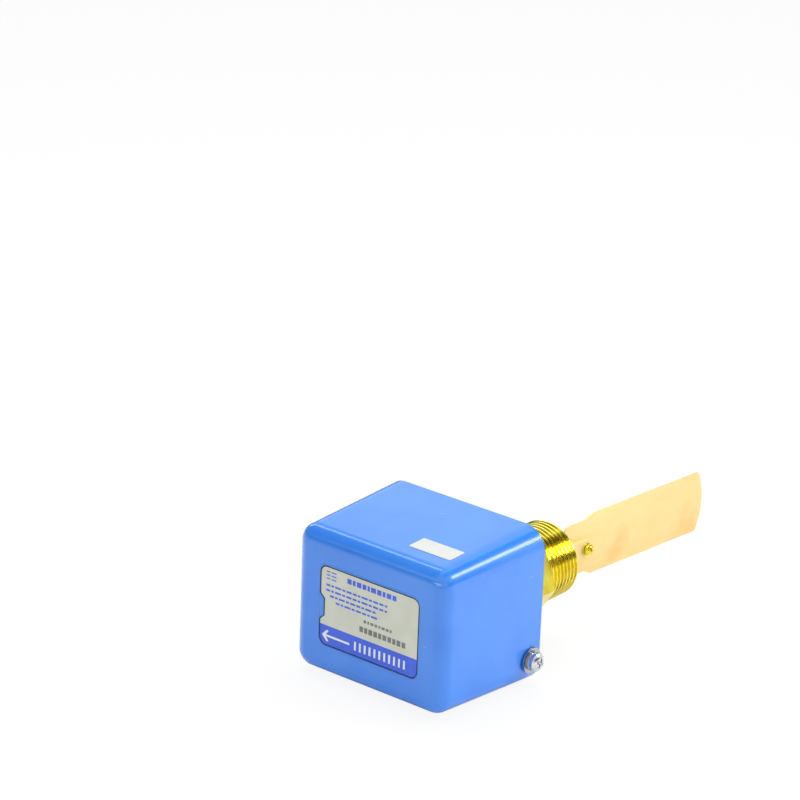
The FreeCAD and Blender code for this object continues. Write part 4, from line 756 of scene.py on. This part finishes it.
def ruledRow(start, end, drop, height, dashes):
    # dashes of cycling lengths in mm from start to end, so that a row reads as ruled print
    lengths = np.tile(np.array(dashes) * mm, 40)
    starts = left + start * mm + np.concatenate([[0], np.cumsum(lengths + printLook["between"])[:-1]])
    inside = starts + lengths <= left + end * mm
    x0, x1 = starts[inside], (starts + lengths)[inside]
    upper = top - drop * mm
    return np.stack([x0, x1, np.full_like(x0, upper - height * mm), np.full_like(x0, upper)], axis=1)


title, small, body = (2.2, 1.5, 2.4, 2.0, 1.2, 2.6), (1.8, 2.6), (2.1, 1.3, 3.2, 1.6, 2.7)
# rows in mm: start and end from the plate's left edge, drop from its upper edge, height and dash lengths
labelRows = {
    "labelLines": (bandBlue, [
        (14, 41, 2.2, 2.2, title), (3.2, 10, 2.0, 0.5, small), (3.2, 10, 3.5, 0.5, small),
        (3.2, 10, 5.0, 0.5, small), (3.078, 35, 7.6, 0.85, body), (3.078, 35, 9.85, 0.85, body),
        (5.13, 29.5, 12.1, 0.85, body), (8.208, 30.5, 14.35, 0.85, body)]),
    "labelMarks": (printGrey, [
        (23, 38, 17.4, 1.2, (1.4, 1.0, 1.6)), (21, 45, 20.6, 2.4, (1.9, 1.6, 2.0))]),
}
for name, (ink, rows) in labelRows.items():
    inkMarks(name, np.concatenate([ruledRow(*row) for row in rows]), ink, 1)


def gapRing(look):
    # a flat dark ring of painted shadow on the plate's edge: four corners of a flat section carried round
    # the plate's outline
    y, inner = plateLow.y - 3 * look["layer"], look["gap"]
    corners = []
    for inset, level in ((0, y), (inner, y), (inner, y + look["shadowRingDepth"]), (0, y + look["shadowRingDepth"])):
        outline = plateOutline(inset)
        corners.append(np.stack([outline[:, 0], np.full(len(outline), level), outline[:, 1]], axis=-1))
    return np.stack(corners, axis=1)


# a dark ring of painted shadow where the plate meets the window's edge
makePiece("windowPaintedShadow", [(gapRing(printLook), True, True)], gapShadow, "cover_shell", 20)
print("label printed")

# floor, light and camera
stageLook = {"floor": "F4F4F4", "floorHalf": 3.0, "floorDrop": 0.02 * mm, "floorSeen": 0.9,
             "skyStrength": 0.68, "seen": 1.0}
white = (1, 1, 1, 1)


def makeFloor(look):
    # level and just under the cover's rim, so the cover slides off along it; the camera sees it evenly white
    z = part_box("cover")[0].z - look["floorDrop"]
    half = look["floorHalf"]
    corners = np.array([(-half, -half, z), (half, -half, z), (half, half, z), (-half, half, z)])
    material, tree = emptyMaterial("pale_floor")
    matt = addNode(tree, "ShaderNodeBsdfDiffuse", {"Color": linear(look["floor"])})
    glow = addNode(tree, "ShaderNodeEmission", {"Color": white, "Strength": look["seen"]})
    ray = addNode(tree, "ShaderNodeLightPath")
    seen = addNode(tree, "ShaderNodeMath", {"operation": "MULTIPLY", 1: look["floorSeen"]}, {
        0: ray.outputs["Is Camera Ray"]})
    mix = addNode(tree, "ShaderNodeMixShader", {}, {
        0: seen.outputs[0], 1: matt.outputs[0], 2: glow.outputs[0]})
    addNode(tree, "ShaderNodeOutputMaterial", {}, {"Surface": mix.outputs[0]})
    addObject("floor", newMesh("floor", corners, np.array([[0, 1, 2, 3]])), material)


def makeSky(look):
    # plain white; softer as a light than it is to the camera, to mirrors and through glass
    world = bpy.data.worlds.new("studio")
    bpy.context.scene.world = world
    world.use_nodes = True
    tree = world.node_tree
    tree.nodes.clear()
    soft = addNode(tree, "ShaderNodeBackground", {"Color": white, "Strength": look["skyStrength"]})
    seen = addNode(tree, "ShaderNodeBackground", {"Color": white, "Strength": look["seen"]})
    ray = addNode(tree, "ShaderNodeLightPath")
    first = addNode(tree, "ShaderNodeMath", {"operation": "MAXIMUM"}, {
        0: ray.outputs["Is Camera Ray"], 1: ray.outputs["Is Glossy Ray"]})
    either = addNode(tree, "ShaderNodeMath", {"operation": "MAXIMUM"}, {
        0: first.outputs[0], 1: ray.outputs["Is Transmission Ray"]})
    mix = addNode(tree, "ShaderNodeMixShader", {}, {
        0: either.outputs[0], 1: soft.outputs[0], 2: seen.outputs[0]})
    addNode(tree, "ShaderNodeOutputWorld", {}, {"Surface": mix.outputs[0]})


softboxes = {
    "overhead": {"spot": (-0.15, 0.10, 0.9), "aim": (0, -0.02, 0), "size": 0.7, "watts": 5.5},
    "right": {"spot": (0.80, 0.55, 0.55), "aim": (0, -0.03, 0), "size": 0.6, "watts": 5.2},
}


def makeSoftbox(name, look):
    lamp = bpy.data.lights.new(name, "AREA")
    lamp.size = look["size"]
    lamp.energy = look["watts"]
    holder = bpy.data.objects.new(name, lamp)
    holder.location = look["spot"]
    holder.rotation_euler = (Vector(look["aim"]) - Vector(look["spot"])).to_track_quat("-Z", "Y").to_euler()
    holder.visible_glossy = False
    bpy.context.scene.collection.objects.link(holder)


# strips that only shiny surfaces see: angles in degrees about +Y from +X towards +Z, reach along Y,
# brightness, radius; the near ones stand round the thread alone and give it its dark and pale bands
reflectors = {
    "blackOverRight": ((57, 83), (-0.35, 2.2), 0.03, 0.8),
    "blackHorizonRightFront": ((4, 27), (-0.35, 0.62), 0.03, 0.8),
    "blackHorizonLeft": ((168, 188), (0.12, 2.2), 0.03, 0.8),
    "whiteStripRight": ((37, 51), (0.35, 0.80), 9.0, 0.8),
    "paleStripRight": ((29, 54), (0.80, 0.854), 4.0, 0.8),
    "threadShadeEdge": ((158, 190), (0.037, 0.085), 0.10, 0.05),
    "threadPaleOver": ((81, 150), (0.037, 0.085), 2.6, 0.05),
    "threadShadeOver": ((49, 76), (0.037, 0.085), 0.12, 0.05),
    "threadPaleStrip": ((38, 48), (0.037, 0.085), 1.8, 0.05),
    "threadHotStrip": ((28, 38), (0.037, 0.085), 22.0, 0.05),
    "threadShadeUnder": ((4.5, 26), (0.037, 0.085), 0.10, 0.05),
    "greyOverFront": ((95, 150), (-0.80, 0.10), 0.12, 0.8),
    "greyLeftFront": ((150, 179), (-1.7, 0.10), 0.12, 0.8),
    "whiteStripFront": ((100, 160), (0.10, 0.17), 6.0, 0.8),
    "greyBackLeft": ((95, 160), (0.17, 0.55), 0.45, 0.8),
}
# cards that stand in front: reach along X, reach along Z, brightness, distance
frontCards = {
    "blackHorizonFront": ((-0.5, 0.9), (-0.03, 0.075), 0.03, 1.0),
    "whiteWindowFront": ((-0.25, 0.5), (0.085, 0.245), 4.0, 1.0),
    "blackShadeFront": ((-0.35, 0.5), (0.255, 0.42), 0.03, 1.0),
}


def makeReflector(name, points, brightness):
    # a glowing sheet on a grid of points that neither lights matt surfaces nor shows itself
    material, tree = emptyMaterial(name)
    glow = addNode(tree, "ShaderNodeEmission", {"Color": white, "Strength": brightness})
    addNode(tree, "ShaderNodeOutputMaterial", {}, {"Surface": glow.outputs[0]})
    faces = gridFaces(*points.shape[:2], False, False)
    card = addObject(name, newMesh(name, points.reshape(-1, 3), faces), material)
    card.visible_camera = False
    card.visible_diffuse = False
    card.visible_shadow = False
    card.visible_transmission = False


def roundStrip(angles, reach, radius):
    # part of a cylinder about the Y axis: (radius cos a, y, radius sin a)
    a = np.radians(np.linspace(*angles, 9))[:, None]
    y = np.array(reach)[None, :]
    return np.stack(np.broadcast_arrays(radius * np.cos(a), y, radius * np.sin(a)), axis=-1)


def frontCard(across, upward, distance):
    # part of a plane that faces +Y: (x, -distance, z)
    x, z = np.array(across)[:, None], np.array(upward)[None, :]
    return np.stack(np.broadcast_arrays(x, -distance, z), axis=-1)


cameraLook = {"spot": (0.77008, -1.01999, 0.55084), "right": (0.776634, 0.628471, 0.043169),
              "down": (0.266933, -0.266242, -0.926208), "lens": 151.95, "sensor": 36,
              "shift": (-0.0892, 0.1129), "nearest": 0.05}


def makeCamera(look):
    data = bpy.data.cameras.new("camera")
    data.sensor_width = look["sensor"]
    data.lens = look["lens"]
    data.shift_x, data.shift_y = look["shift"]
    data.clip_start = look["nearest"]
    holder = bpy.data.objects.new("camera", data)
    right = Vector(look["right"]).normalized()
    up = -Vector(look["down"]).normalized()
    back = right.cross(up)
    holder.matrix_world = Matrix.Translation(look["spot"]) @ Matrix((right, up, back)).transposed().to_4x4()
    bpy.context.scene.collection.objects.link(holder)
    bpy.context.scene.camera = holder


makeFloor(stageLook)
makeSky(stageLook)
for name, look in softboxes.items():
    makeSoftbox(name, look)
for name, (angles, reach, brightness, radius) in reflectors.items():
    makeReflector(name, roundStrip(angles, reach, radius), brightness)
for name, (across, upward, brightness, distance) in frontCards.items():
    makeReflector(name, frontCard(across, upward, distance), brightness)
makeCamera(cameraLook)
bpy.context.scene.view_settings.view_transform = "Standard"
print("stage set")
